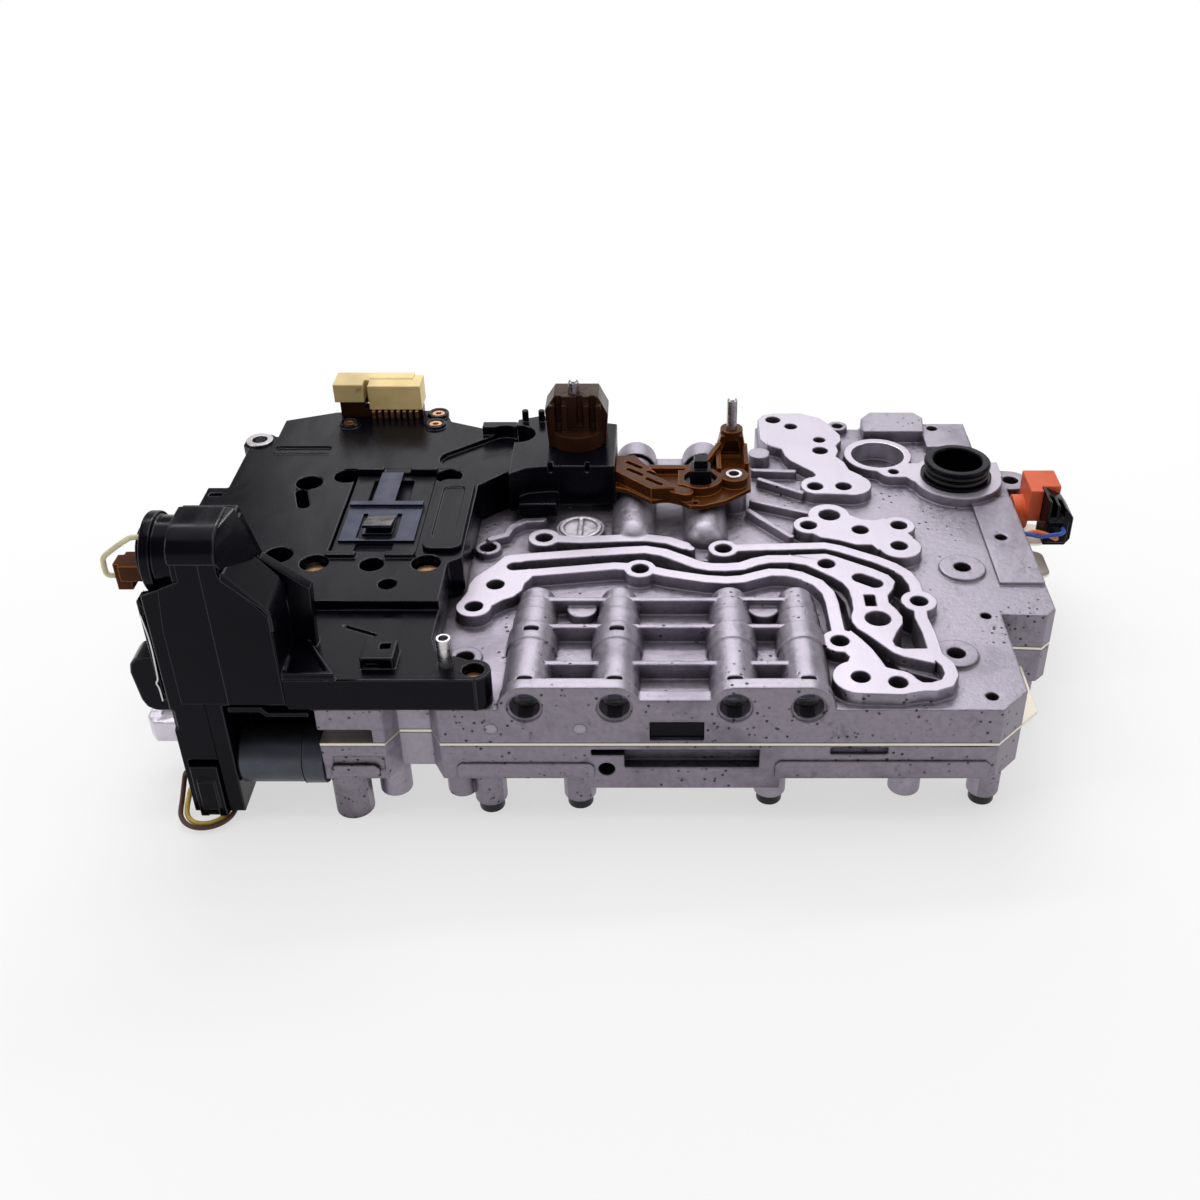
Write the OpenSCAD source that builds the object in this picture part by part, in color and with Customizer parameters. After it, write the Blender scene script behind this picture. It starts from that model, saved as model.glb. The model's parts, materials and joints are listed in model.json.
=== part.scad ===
// Transmission valve body with electronics carrier, in millimetres.
// Drawn round the separator plate's underside at z = 0, then moved onto its base.

/* [Castings] */
// Depth of the castings from the front face to the back
body_back = 212; // [206:0.5:218]
// Reach of the castings to the right of the front face's middle
body_right = 146; // [142:0.5:150]
// Height of the upper casting's floor over the separator plate's underside
floor_z = 16; // [15:0.5:18]
// Height of the machined lands over the floor
land_h = 5; // [4:0.5:7]
// Thickness of the separator plate
sep_t = 1.2; // [0.8:0.1:1.6]
// Depth of the lower casting's rim under the separator plate
skirt_h = 15; // [13:0.5:17]
// Depth of the lower casting's inner body
belly_h = 22; // [20:0.5:24]
// Depth of the feet under the separator plate
foot_h = 29.5; // [28:0.5:33]
// Radius of the feet
foot_r = 5.8; // [5.6:0.1:7]
// Radius of the plain oil holes in the lands
port_r = 3.3; // [2.6:0.1:3.8]
// Radius of the raised rings round the right casting holes
pad_r = 9; // [7:0.5:11]

/* [Valves] */
// Radius of the valve bores
bore_r = 5.2; // [4.6:0.1:5.6]
// Outer radius of the cast ridges over the front bores
ridge_r = 8.4; // [7.6:0.1:9]
// Radial clearance of a spool in its bore
spool_gap = 0.08; // [0.05:0.01:0.1]
// Radius of a spool's stem
stem_r = 3; // [2.4:0.1:3.6]
// Wire width of the valve springs
wire_d = 1.1; // [0.9:0.1:1.4]
// Radius of the selector valve
selector_r = 5.8; // [5:0.1:6.4]
// Distance of the selector valve's eye from the front face's middle
eye_reach = 172; // [170:0.5:180]
// Outer length of the selector valve's eye
eye_len = 22; // [19:0.5:26]

/* [Ports] */
// Outer radius of the oil spigot
spigot_r = 13.4; // [12.5:0.1:14.2]
// Inner radius of the oil spigot
spigot_in = 10.2; // [9:0.1:10.8]
// Height of the spigot over its seat
spigot_h = 8; // [7:0.5:10]
// Radius of the filter bore
filter_r = 11.4; // [9:0.1:12]

/* [Carrier] */
// Height of the carrier's plate over the casting floor
plate_h = 17; // [16:0.5:19]
// Thickness of the carrier's plate
plate_t = 3.5; // [2.5:0.5:5]
// Radius of the access holes in the plate
access_r = 5.3; // [4.4:0.1:6]
// Height of the front tray over the casting floor
tray_h = 13; // [11:0.5:15]
// Height of the round socket's axis over the separator
socket_z = 71; // [69:0.5:75]
// Radius of the round solenoid held in the socket
socket_r = 12; // [10.5:0.1:12.4]

/* [Sensors] */
// Height of the sensor box over the casting floor
box_h = 22; // [20:0.5:25]
// Height of the tall sensor over its box
tower_h = 22; // [18:0.5:28]
// Radius of the steel sensor pins
pin_r = 2.2; // [1.8:0.1:2.6]
// Free length of the bracket's pin
pin_len = 13; // [10:0.5:16]

/* [Leads] */
// Radius of the short connector leads
lead_r = 0.9; // [0.7:0.05:1.1]

/* [Hidden] */
$fn = 48;
// Shift from the separator's frame to the middle of the base
base_at = [10.5, -102.25, 34];
land_z = floor_z + land_h;
plate_z = floor_z + plate_h;
tray_z = floor_z + tray_h;
box_z = floor_z + box_h;
valve_z = floor_z + 0.5;
rim_z = valve_z + ridge_r + 0.6;
rear_z = floor_z;
front_x = [-48, -17.5, 23.5, 48.5];
rear_x = [-13, 16];
bore_end = 60;
rear_end = 114;
rear_seat = 131;
rear_stop = 165;
spool_r = bore_r - spool_gap;
socket_y = 14;
selector_y = 32;
selector_z = -11;
lower_y = 10;
lower_z = -11;
head_h = 4.5;
bolt_feet = [[-63, 8], [-31, 10], [37.5, 12], [115, 12], [-134, 176], [-40, 166], [30, 166],
    [125, 192], [134, 100], [-134, 92]];
plain_feet = [[-98, 13], [86.5, 13], [80, 184], [138, 66]];
land_holes = [[-71, 55], [-64.5, 69.5], [-48.5, 103], [-10, 80.5], [22.5, 95], [62, 84], [94, 58.5],
    [62, 33.5],
    [67, 12.5], [79.5, 9.5], [57.5, 112.5], [78, 109], [94, 112.5], [92, 97], [49, 205], [68, 175.5],
    [63, 144], [75, 144]];
access = [[-145, 126], [-130.5, 131.5], [-89, 131.5], [-145, 71.5], [-130.5, 66], [-89, 66]];

// A straight 2D bar between two points
module seg(a, b, w) {
    translate(a)
        rotate(atan2(b[1] - a[1], b[0] - a[0]))
            translate([0, -w / 2])
                square([norm(b - a), w]);
}

// A bent 2D bar with round corners and ends
module stroke(p, w) {
    for (i = [0:len(p) - 2])
        seg(p[i], p[i + 1], w - 0.06);
    for (q = p)
        translate(q)
            circle(d = w);
}

// A box between two corners
module slab(x0, x1, y0, y1, z0, z1) {
    translate([x0, y0, z0])
        cube([x1 - x0, y1 - y0, z1 - z0]);
}

// A 2D shape raised from z0 to z1
module raise(z0, z1) {
    translate([0, 0, z0])
        linear_extrude(z1 - z0)
            children();
}

// A shape drawn in x and z, run along y
module along_y(y0, y1) {
    translate([0, y1, 0])
        rotate([90, 0, 0])
            linear_extrude(y1 - y0)
                children();
}

module zcyl(x, y, r, z0, z1) {
    translate([x, y, z0])
        cylinder(r = r, h = z1 - z0);
}

module ycyl(x, z, r, y0, y1) {
    translate([x, y0, z])
        rotate([-90, 0, 0])
            cylinder(r = r, h = y1 - y0);
}

module xcyl(y, z, r, x0, x1) {
    translate([x0, y, z])
        rotate([0, 90, 0])
            cylinder(r = r, h = x1 - x0);
}

// A round bar between two points
module rod(a, b, r) {
    d = b - a;
    translate(a)
        rotate([0, acos(d[2] / norm(d)), atan2(d[1], d[0])])
            cylinder(r = r, h = norm(d));
}

// A rounded rectangle
module rounded(x0, x1, y0, y1, r) {
    translate([x0 + r, y0])
        square([x1 - x0 - 2 * r, y1 - y0]);
    translate([x0, y0 + r])
        square([x1 - x0, y1 - y0 - 2 * r]);
    for (x = [x0 + r, x1 - r])
        for (y = [y0 + r, y1 - r])
            translate([x, y])
                circle(r);
}

// Outline shared by the castings, grown at the right front by g
module body_outline(g) {
    polygon([[-119.5, 0.5], [-97, 0.5], [-93, 8], [-82, 8], [-78, 0.5], [115, 0.5], [125 + g, 11 + g],
        [125 + g, 44],
        [125, 57], [body_right - 4, 56], [body_right, 60], [body_right, 150], [138, 150.5],
        [138, 199], [134, body_back - 7.5],
        [118, body_back - 6], [114.5, body_back - 1],
        [93, body_back - 1], [88, body_back - 7], [76, body_back - 6], [70, body_back],
        [46, body_back], [41, body_back - 6], [41, 177], [-60, 177],
        [-66, 186], [-146, 186],
        [-146, 58], [-119.5, 52]]);
    translate([149, 158])
        circle(8);
    translate([130, 150])
        square([19, 16]);
}

// Front worm tracks of the machined face
module track_upper() {
    stroke([[-48.5, 102.5], [-34, 101.5], [-20, 102.5], [-8, 103], [1, 101], [7.5, 97]], 5.4);
    stroke([[7.5, 97], [10, 94.8]], 3.2);
    translate([-48.5, 103])
        circle(6.4);
    stroke([[22.5, 95], [34, 95.8], [54, 96.6], [62.5, 97], [68, 95], [81.5, 87], [87.5, 82.3],
        [92, 76.8], [94, 70],
        [94, 58.5], [93.2, 48], [94.5, 38.5], [95, 25], [98.2, 19.5], [98.6, 14], [96.4, 9.2],
        [91.4, 7], [84, 7]], 5);
    translate([22.5, 95])
        circle(6);
    translate([94, 58.5])
        circle(6.8);
}

module track_middle() {
    stroke([[-60, 87.5], [-53, 88.8], [-29, 92], [-16, 93.5], [-8, 94.2], [-1, 92.2], [6, 87.6],
        [12, 83.4], [17, 81.7],
        [23, 81.5], [29, 82.2], [34.5, 85.4], [40, 87.3], [50, 87.4]], 5.6);
    polygon([[48, 90.2], [62.5, 91.2], [66.5, 89], [79.5, 80.5], [85, 76], [87, 71.5], [85.5, 66.5],
        [83, 62], [82.7, 57.5],
        [85, 53], [86.5, 48.5], [86, 44], [83, 38.5], [81, 33.5], [81.5, 30.5], [84, 28.8],
        [92.5, 29], [94.5, 27],
        [94, 20], [88.5, 22], [83, 24.2], [80, 26.5], [76.8, 31], [72.3, 37.3], [69, 41], [67.5, 45],
        [67.5, 48.6],
        [68.8, 53], [69, 60], [68.5, 66], [66.8, 70.5], [63.5, 74.5], [58.5, 79], [54, 83], [48, 84.6]]);
}

module track_lower() {
    polygon([[-63, 89.5], [-66.5, 83], [-70, 78.5], [-73.2, 74], [-74.7, 69], [-74.7, 64.5],
        [-77, 57.5], [-64.8, 55],
        [-60.5, 59.3], [-57, 61.2], [-54, 65.6], [-53.4, 70.2], [-51, 74.5], [-52, 80], [-55, 84],
        [-55.5, 88.5]]);
    translate([-71, 55])
        circle(6.7);
    stroke([[-53, 77.4], [-34.5, 80.1], [-20, 82.4], [-10, 81.5], [0, 77.5], [7.5, 75.4],
        [15.5, 73.4], [23, 72.6],
        [29, 73.3], [34.5, 75.8], [40, 78], [46, 77.8], [51, 76], [57.5, 70.8], [60.8, 64],
        [61.6, 57], [61.8, 46],
        [62, 38]], 5.2);
    translate([-10, 80.5])
        circle(6.2);
    translate([62.2, 33.5])
        circle(6.8);
    polygon([[66.5, 40], [70, 34.5], [73, 28.6], [75, 23], [76.5, 18], [81.4, 16], [85, 12.7],
        [88, 9.4], [88, 4.6],
        [79.5, 2.6], [66.5, 3.2], [60, 12], [64.4, 24], [60, 32]]);
    translate([66.5, 12.5])
        circle(9.3);
    translate([79.5, 9.5])
        circle(6.9);
}

// Deep oil channels between the worm tracks
module track_channels() {
    stroke([[-52, 95], [-40, 96], [-29, 97.2], [-16, 98.4], [-7, 98.7], [0, 97], [7, 92.8]], 6);
    stroke([[30, 91], [38, 92], [54, 92.8], [62.5, 94], [68, 91.8], [81, 83.8], [86, 79],
        [89.5, 72.5], [89, 66]], 6);
    stroke([[-54, 83], [-34.5, 86], [-20, 88], [-9, 89], [-1, 86.6], [6.5, 81.2], [12, 78.3],
        [17, 76.7], [23, 76.8],
        [29, 77.7], [34.5, 80.7], [40, 82.6], [46, 82.4], [50, 81]], 6);
    stroke([[50, 81], [56, 77.4], [62.3, 71], [65, 64], [65.3, 56], [64.8, 44], [68, 39.5],
        [73.5, 32], [77, 26],
        [82, 20.5], [93, 15.5]], 5);
    translate([14.5, 90.2])
        circle(3.3);
}

// The open pocket between the right tracks
module track_pocket() {
    polygon([[83, 61.5], [87, 67], [91, 63], [92, 54], [92.5, 46], [93, 34], [91, 28.5], [83, 28.5],
        [80, 33],
        [83, 38], [85, 44], [85, 49], [84, 53.5], [82, 57.5]]);
}

// Oil ports of the worm tracks that aren't plain round holes
module track_ports() {
    stroke([[-58.5, 82], [-54, 82.6]], 5.4);
    stroke([[74, 74], [79, 70.4]], 6.2);
    translate([73.9, 55.2])
        square([4, 7.4]);
    translate([77.3, 47.3])
        circle(4.7);
}

module land_middle() {
    polygon([[51.8, 110], [58.6, 106.4], [61.5, 103.2], [68.6, 101], [75, 97.7], [81.4, 97.7],
        [83.2, 94], [92, 96],
        [98.6, 103], [94, 112], [88.6, 118.2], [85, 116.4], [79.5, 117], [75, 120.5], [66.5, 121],
        [57.5, 118.6]]);
    translate([66.5, 120.5])
        circle(8.6);
    translate([57.7, 112.6])
        circle(6.4);
    translate([94, 112.3])
        circle(6.6);
    translate([92.3, 96.5])
        circle(8.5);
}

module land_back() {
    polygon([[42, body_back - 7], [42, 186], [45, 180.5], [51, 177], [52, 171], [54, 166.5], [63, 156.5],
        [64, 153.5], [62, 150.5],
        [64, 137.6], [78, 137], [84, 153], [79, 158], [77.5, 165], [74.5, 170], [76, 175],
        [75.5, 180], [78.3, 185],
        [78.3, 190], [74, 201], [70.5, body_back - 5], [62, body_back - 0.4], [50, body_back - 0.4],
        [44.5, body_back - 2.5]]);
    translate([64.3, 144.8])
        circle(7.4);
    translate([78, 145.6])
        circle(9);
}

module land_ring() {
    translate([93, 172.7])
        circle(14.8);
    polygon([[88, 160.5], [91, 157.8], [93.5, 154], [95.5, 152.8], [103, 152.8], [105, 149.6],
        [112, 146], [112, 165],
        [104, 165]]);
    translate([124.5, 153.2])
        circle(19);
    translate([130, 153])
        square([14, 12.9]);
}

// Front rim round the four valve bores
module rim_profile() {
    for (i = [0, 2]) {
        translate([front_x[i], valve_z])
            circle(rim_z - valve_z);
        translate([front_x[i + 1], valve_z])
            circle(rim_z - valve_z);
        translate([front_x[i], 10])
            square([front_x[i + 1] - front_x[i], rim_z - 10]);
    }
    translate([front_x[1], 10])
        square([front_x[2] - front_x[1], floor_z - 10 + 4]);
}

module front_ridge(x) {
    ycyl(x, valve_z, ridge_r - 1.4, 2, 64);
    ycyl(x, valve_z, ridge_r - 0.8, 2, 57.5);
    ycyl(x, valve_z, ridge_r - 0.3, 2, 50);
    ycyl(x, valve_z, ridge_r + 0.7, 30, 40);
    ycyl(x, valve_z, ridge_r, 2, 30.5);
}

module rear_ridge(x) {
    translate([x, 110, rear_z])
        sphere(8.8);
    ycyl(x, rear_z, 8.8, 110, 150);
    ycyl(x, rear_z, 7.4, 140, 176);
    ycyl(x, rear_z, 8.8, 166, 176.5);
}

// Raised walls of the rear oil pockets
module rear_walls() {
    stroke([[34, 126], [50, 106]], 2.6);
    stroke([[36, 134], [59, 124]], 2.6);
    stroke([[40, 152], [57, 141]], 2.6);
    stroke([[38, 160], [55, 159]], 2.6);
    stroke([[-70, 104], [-64, 107], [-62.5, 113], [-57.5, 118], [-50, 118.5]], 3.2);
}

module upper_housing() {
    color([0.72, 0.71, 0.74])
        difference() {
            union() {
                difference() {
                    raise(sep_t, floor_z)
                        body_outline(0);
                    raise(floor_z - 6, floor_z + 1)
                        track_channels();
                    raise(floor_z - 6, floor_z + 1)
                        track_pocket();
                }
                raise(floor_z - 6.5, land_z)
                    track_upper();
                raise(floor_z - 6.5, land_z)
                    track_middle();
                raise(floor_z - 6.5, land_z)
                    track_lower();
                raise(floor_z - 2, land_z)
                    land_middle();
                raise(floor_z - 2, land_z)
                    land_back();
                raise(floor_z - 2, land_z - 0.5)
                    land_ring();
                along_y(0.5, 6)
                    rim_profile();
                for (x = front_x)
                    front_ridge(x);
                for (y = [56.5, 39.5, 17.5])
                    slab(-48, 49, y, y + 2.4, floor_z - 2, floor_z + 6.4);
                for (x = rear_x)
                    rear_ridge(x);
                for (x = [-31, 36])
                    zcyl(x, 55, 5.5, floor_z - 2, floor_z + 4);
                raise(floor_z - 2, floor_z + 4)
                    rear_walls();
                zcyl(-34.5, 112, 9.8, floor_z - 2, floor_z + 4);
                zcyl(115.5, 87, pad_r, floor_z - 2, floor_z + 1.5);
                zcyl(103.5, 31, pad_r - 1, floor_z - 2, floor_z + 1.5);
                zcyl(-71.5, 29, 6.2, floor_z - 2, floor_z + 1.2);
                zcyl(-70.5, 99, 5.2, floor_z - 2, floor_z + 3);
                zcyl(40.8, 171.5, 4.7, floor_z - 2, floor_z + 6);
                zcyl(28, 134.5, 5.5, floor_z - 2, floor_z + 10);
                slab(128, 145.5, 76, 141, floor_z - 2, floor_z + 1.5);
                raise(floor_z - 2, floor_z + 6)
                    polygon([[89, 192], [116, 192], [117.5, body_back - 7], [114, body_back - 1.5],
                        [94, body_back - 1.5],
                        [89, body_back - 8]]);
                slab(116, 136, 181, 203, floor_z - 2, floor_z + 4);
                zcyl(78.5, 203, 4.4, floor_z - 2, floor_z + 3);
                for (p = [[-56, 136], [-27, 162]])
                    zcyl(p[0], p[1], 4, floor_z - 2, floor_z + 4);
            }
            // valve bores and the slots of their keys
            for (x = front_x) {
                ycyl(x, valve_z, bore_r, -1, bore_end);
                ycyl(x, valve_z, bore_r + 0.9, -1, 1.6);
                slab(x - 2.6, x + 2.6, 5.6, 8, valve_z, rim_z + 2);
            }
            for (x = [front_x[0], front_x[1]])
                slab(x - 2.6, x + 2.6, 34, 36.4, valve_z + bore_r + 1, rim_z + 2);
            for (x = rear_x) {
                ycyl(x, rear_z, bore_r, rear_end, 200);
                difference() {
                    ycyl(x, rear_z, 8, 165, 168);
                    ycyl(x, rear_z, 6.9, 164, 169);
                }
            }
            // oil ports through the lands
            for (h = land_holes)
                zcyl(h[0], h[1], port_r, floor_z - 8, land_z + 1);
            raise(floor_z - 8, land_z + 1)
                track_ports();
            zcyl(66.7, 120.5, 4.3, floor_z - 8, land_z + 1);
            zcyl(56.7, 198.5, 2.8, floor_z - 8, land_z + 1);
            zcyl(68.5, 185.5, 2.6, floor_z - 8, land_z + 1);
            zcyl(-70.5, 99, 3.3, floor_z - 8, floor_z + 4);
            zcyl(-71.5, 29, 3.3, floor_z - 8, floor_z + 2);
            // filter bore, spigot seat and fixing holes
            zcyl(93, 172.5, filter_r, floor_z - 4, land_z + 1);
            zcyl(98, 157.5, 2.2, floor_z - 6, land_z + 1);
            zcyl(124, 153.5, spigot_r - 1.2, floor_z - 8, land_z + 1);
            zcyl(115.5, 87, 3.3, floor_z - 12, floor_z + 3);
            zcyl(103.5, 31, 3.3, floor_z - 12, floor_z + 3);
            zcyl(119, 56, 2, floor_z - 10, floor_z + 1);
            zcyl(135, 109, 2.4, floor_z - 8, floor_z + 2);
            zcyl(112, 8, 2.2, floor_z - 10, floor_z + 1);
            zcyl(149, 158, 3.3, sep_t - 1, floor_z + 1);
            zcyl(121, 198.5, 2.4, floor_z - 4, floor_z + 5);
            zcyl(78.5, 203, 2.4, floor_z - 4, floor_z + 5);
            zcyl(-34.5, 112, 8.4, floor_z - 2, floor_z + 5);
            zcyl(28, 134.5, 2.1, floor_z - 2, floor_z + 11);
            for (p = bolt_feet)
                zcyl(p[0], p[1], 3.05, sep_t - 1, 10.2);
            for (p = [access[4], access[5]])
                zcyl(p[0], p[1], 3.05, 6, floor_z + 1);
            zcyl(-65, 6, 2.05, 10.9, floor_z + 1);
            // bare recess and round marks on the front face
            slab(-5.5, 13, -1, 2, 2.5, 10.5);
            for (x = [-60, -29.5])
                ycyl(x, 7.5, 2.2, -1, 0.8);
            slab(-121, -101, -1, 10, 0, 7);
            // seat of the side solenoid's nose
            xcyl(140, 9.5, 5.2, body_right - 8, body_right + 1);
        }
}

module separator_plate() {
    color([0.9, 0.87, 0.8])
        difference() {
            raise(0, sep_t)
                union() {
                    body_outline(7);
                    rounded(138, body_right + 15, 130, 146, 4);
                    rounded(138, body_right + 11, 105, 124, 4);
                }
            for (p = bolt_feet)
                zcyl(p[0], p[1], 3.3, -1, sep_t + 1);
            zcyl(149, 158, 3.3, -1, sep_t + 1);
            for (p = [[-20, 40], [10, 60], [60, 60], [80, 120], [-80, 120], [20, 150]])
                zcyl(p[0], p[1], 2, -1, sep_t + 1);
        }
}

module lower_housing() {
    color([0.66, 0.65, 0.69])
        difference() {
            union() {
                raise(-skirt_h, 0)
                    body_outline(0);
                raise(-belly_h, -skirt_h + 1)
                    polygon([[-118, 18], [100, 18], [118, 30], [118, 52], [134, 70], [134, 140],
                        [124, 194], [50, 194], [36, 172],
                        [-62, 172], [-70, 180], [-136, 180], [-136, 80], [-118, 62]]);
                for (p = bolt_feet)
                    zcyl(p[0], p[1], foot_r, -foot_h, -2);
                for (p = plain_feet)
                    zcyl(p[0], p[1], foot_r, -foot_h, -2);
                zcyl(-112.5, 7.3, foot_r + 1, -foot_h - head_h, -2);
                zcyl(-73, 9, 5.4, -foot_h + 3, -2);
                slab(-29, 40, 0.5, 30, -skirt_h - 4.5, -skirt_h + 1);
            }
            for (p = bolt_feet)
                zcyl(p[0], p[1], 3.3, -foot_h - 1, 1);
            for (p = plain_feet)
                zcyl(p[0], p[1], 2.6, -foot_h - 1, -foot_h + 12);
            xcyl(selector_y, selector_z, selector_r + 0.08, -121, 30);
            xcyl(lower_y, lower_z + 2, 4.5, -120, -114.5);
            zcyl(149, 158, 3.3, -skirt_h - 1, 1);
            // pockets of the front face
            slab(-14.5, 32.5, -1, 5, -10, -1.8);
            slab(-26, -14, -1, 5, -4.4, -1.8);
            slab(57, 77, -1, 2.5, -4, -1);
            slab(-116, -98, -1, 1.2, -11, -5);
            ycyl(-20.7, -10.7, 2.9, -1, 9);
            // ball pockets under the separator plate
            for (x = [-60, -20, 20, 60])
                zcyl(x, 60, 3.6, -6.4, 1);
        }
}

module housing_bolts() {
    color([0.16, 0.16, 0.17])
        for (p = bolt_feet) {
            zcyl(p[0], p[1], 3, -foot_h - 1, 10);
            zcyl(p[0], p[1], 4.6, -foot_h - head_h, -foot_h);
        }
}

// A spool of three lands on a stem, with its spring face at the far end
module spool(x, z, y0, y1, dir) {
    l = y1 - y0;
    translate([x, y0, z])
        rotate([-90 * dir, 0, 0])
            rotate_extrude()
                polygon([[0, 0], [spool_r - 0.5, 0], [spool_r, 0.5], [spool_r, 6], [stem_r, 6],
                    [stem_r, l * 0.42],
                    [spool_r, l * 0.42], [spool_r, l * 0.6], [stem_r, l * 0.6], [stem_r, l - 7],
                    [spool_r, l - 7],
                    [spool_r, l - 0.5], [spool_r - 0.5, l], [0, l]]);
}

// A coil spring run along y, as half turns that each climb half a pitch
module coil(x, z, y0, y1, turns) {
    r = bore_r - 1.2;
    climb = (y1 - y0 - wire_d) / (2 * turns);
    tilt = atan(climb / (2 * r));
    translate([x, y0 + wire_d / 2, z])
        rotate([-90, 0, 0])
            for (i = [0:2 * turns - 1])
                translate([0, 0, climb * (i + 0.5)])
                    rotate([0, i % 2 == 0 ? tilt : -tilt, 0]) {
                        rotate([0, 0, i % 2 == 0 ? 0 : 180])
                            rotate_extrude(angle = 180)
                                translate([r / cos(tilt), 0])
                                    circle(d = wire_d);
                        translate([i % 2 == 0 ? r / cos(tilt) : -r / cos(tilt), 0, 0])
                            sphere(d = wire_d * 1.08);
                    }
}

module front_spool(i) {
    color([0.78, 0.78, 0.8])
        spool(front_x[i], valve_z, 14.6, 42, 1);
}

module front_spring(i) {
    color([0.5, 0.5, 0.53])
        coil(front_x[i], valve_z, 42, bore_end, 5);
}

module rear_spool(i) {
    color([0.78, 0.78, 0.8])
        spool(rear_x[i], rear_z, rear_seat, rear_stop - 0.1, 1);
}

module rear_spring(i) {
    color([0.5, 0.5, 0.53])
        coil(rear_x[i], rear_z, rear_end, rear_seat, 5);
}

module valve_plugs() {
    color([0.35, 0.35, 0.38])
        for (x = front_x)
            ycyl(x, valve_z, bore_r - 0.05, 8, 14.5);
}

module rear_plugs() {
    color([0.35, 0.35, 0.38])
        for (x = rear_x)
            ycyl(x, rear_z, bore_r - 0.05, rear_stop, rear_stop + 9.5);
}

module retaining_keys() {
    color([0.4, 0.4, 0.43])
        for (x = front_x)
            slab(x - 2.4, x + 2.4, 5.8, 8, valve_z + 0.4, valve_z + 7);
}

module selector_valve() {
    eye_x = -eye_reach;
    color([0.75, 0.73, 0.78])
        union() {
            xcyl(selector_y, selector_z, 4.4, eye_x - 1, 10);
            for (x = [-112, -70, -30])
                xcyl(selector_y, selector_z, selector_r, x, x + 18);
            difference() {
                raise(selector_z - 4.4, selector_z + 4.4)
                    polygon([[eye_x, selector_y - eye_len / 2 + 4], [eye_x - 4, selector_y - eye_len / 2],
                        [eye_x - 13, selector_y - eye_len / 2],
                        [eye_x - 16, selector_y - eye_len / 2 + 4],
                        [eye_x - 16, selector_y + eye_len / 2 - 2],
                        [eye_x - 12, selector_y + eye_len / 2],
                        [eye_x, selector_y + eye_len / 2]]);
                slab(eye_x - 11.5, eye_x - 4.5, selector_y - eye_len / 2 + 5,
                    selector_y + eye_len / 2 - 5, -40, 10);
            }
        }
}

module screw_plug() {
    color([0.7, 0.69, 0.73])
        difference() {
            zcyl(-34.5, 112, 8.35, floor_z - 2, floor_z + 4.6);
            difference() {
                zcyl(-34.5, 112, 6.8, floor_z + 3.2, floor_z + 6);
                slab(-35.4, -33.6, 100, 124, floor_z, floor_z + 4.4);
            }
        }
}

module check_balls() {
    color([0.7, 0.7, 0.72])
        for (x = [-60, -20, 20, 60])
            translate([x, 60, -3.3])
                sphere(3.1);
}

module oil_spigot() {
    z0 = floor_z - 8;
    seat = land_z - 0.5;
    top = seat + spigot_h;
    color([0.09, 0.09, 0.1])
        translate([124, 153.5, 0])
            rotate_extrude()
                polygon([[spigot_in, z0], [spigot_r - 1.25, z0], [spigot_r - 1.25, seat],
                    [spigot_r + 1.6, seat],
                    [spigot_r + 1.6, seat + 1.2], [spigot_r - 1.6, seat + 1.2],
                    [spigot_r - 1.6, seat + 3.4],
                    [spigot_r + 0.2, seat + 3.4], [spigot_r + 0.2, seat + 4.1],
                    [spigot_r - 1.6, seat + 4.1],
                    [spigot_r - 1.6, seat + 6], [spigot_r + 0.6, seat + 6], [spigot_r + 0.6, top - 0.8],
                    [spigot_r - 0.2, top], [spigot_in + 0.6, top], [spigot_in, top - 0.6]]);
}

module spigot_seals() {
    seat = land_z - 0.5;
    color([0.04, 0.04, 0.04])
        for (z = [seat + 2.3, seat + 5.05])
            translate([124, 153.5, z])
                rotate_extrude()
                    translate([spigot_r - 0.68, 0])
                        circle(0.9);
}

module plate_outline() {
    polygon([[-81, 41], [-128, 41], [-128, 23], [-168, 23], [-168, 85], [-185, 104], [-185, 122],
        [-177, 122], [-177, 155], [-180, 158], [-180, 164.5], [-176.5, 168],
        [-170, 168], [-167, 165.5], [-167, 181], [-146, 189], [-101, 191], [-97, 188], [-94, 180],
        [-78, 173],
        [-64, 180], [-64, 136],
        [-76, 124], [-76, 70], [-81, 66]]);
}

// The hollow under the plate, one wall inside its outline
module plate_hollow() {
    polygon([[-84, 44], [-125, 44], [-125, 26], [-165, 26], [-165, 86], [-182, 105], [-182, 119],
        [-174, 119], [-174, 152],
        [-164, 157], [-164, 178], [-146, 186], [-102, 188], [-97, 178], [-78, 169.5], [-67, 175],
        [-67, 138],
        [-79, 126], [-79, 71], [-84, 67]]);
}

module tray_outline() {
    polygon([[-128, 2], [-64, 0], [-60, 6], [-68, 12], [-79, 17], [-81, 24], [-81, 42], [-128, 42]]);
    translate([-65, 6])
        circle(6);
    translate([-128, 0])
        square([64, 8]);
}

// Front view of the upright that carries the round socket and the lower plug
module tower_profile() {
    polygon([[-168, -30], [-150, -30], [-150, floor_z + 2], [-128, floor_z + 2], [-128, 56],
        [-129.5, 58], [-141, socket_z],
        [-147, socket_z], [-168, socket_z - 8]]);
}

module tower_hollow() {
    polygon([[-165, floor_z + 4], [-131, floor_z + 4], [-131, 55], [-142, socket_z - 4],
        [-147, socket_z - 4],
        [-165, socket_z - 14]]);
}

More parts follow.
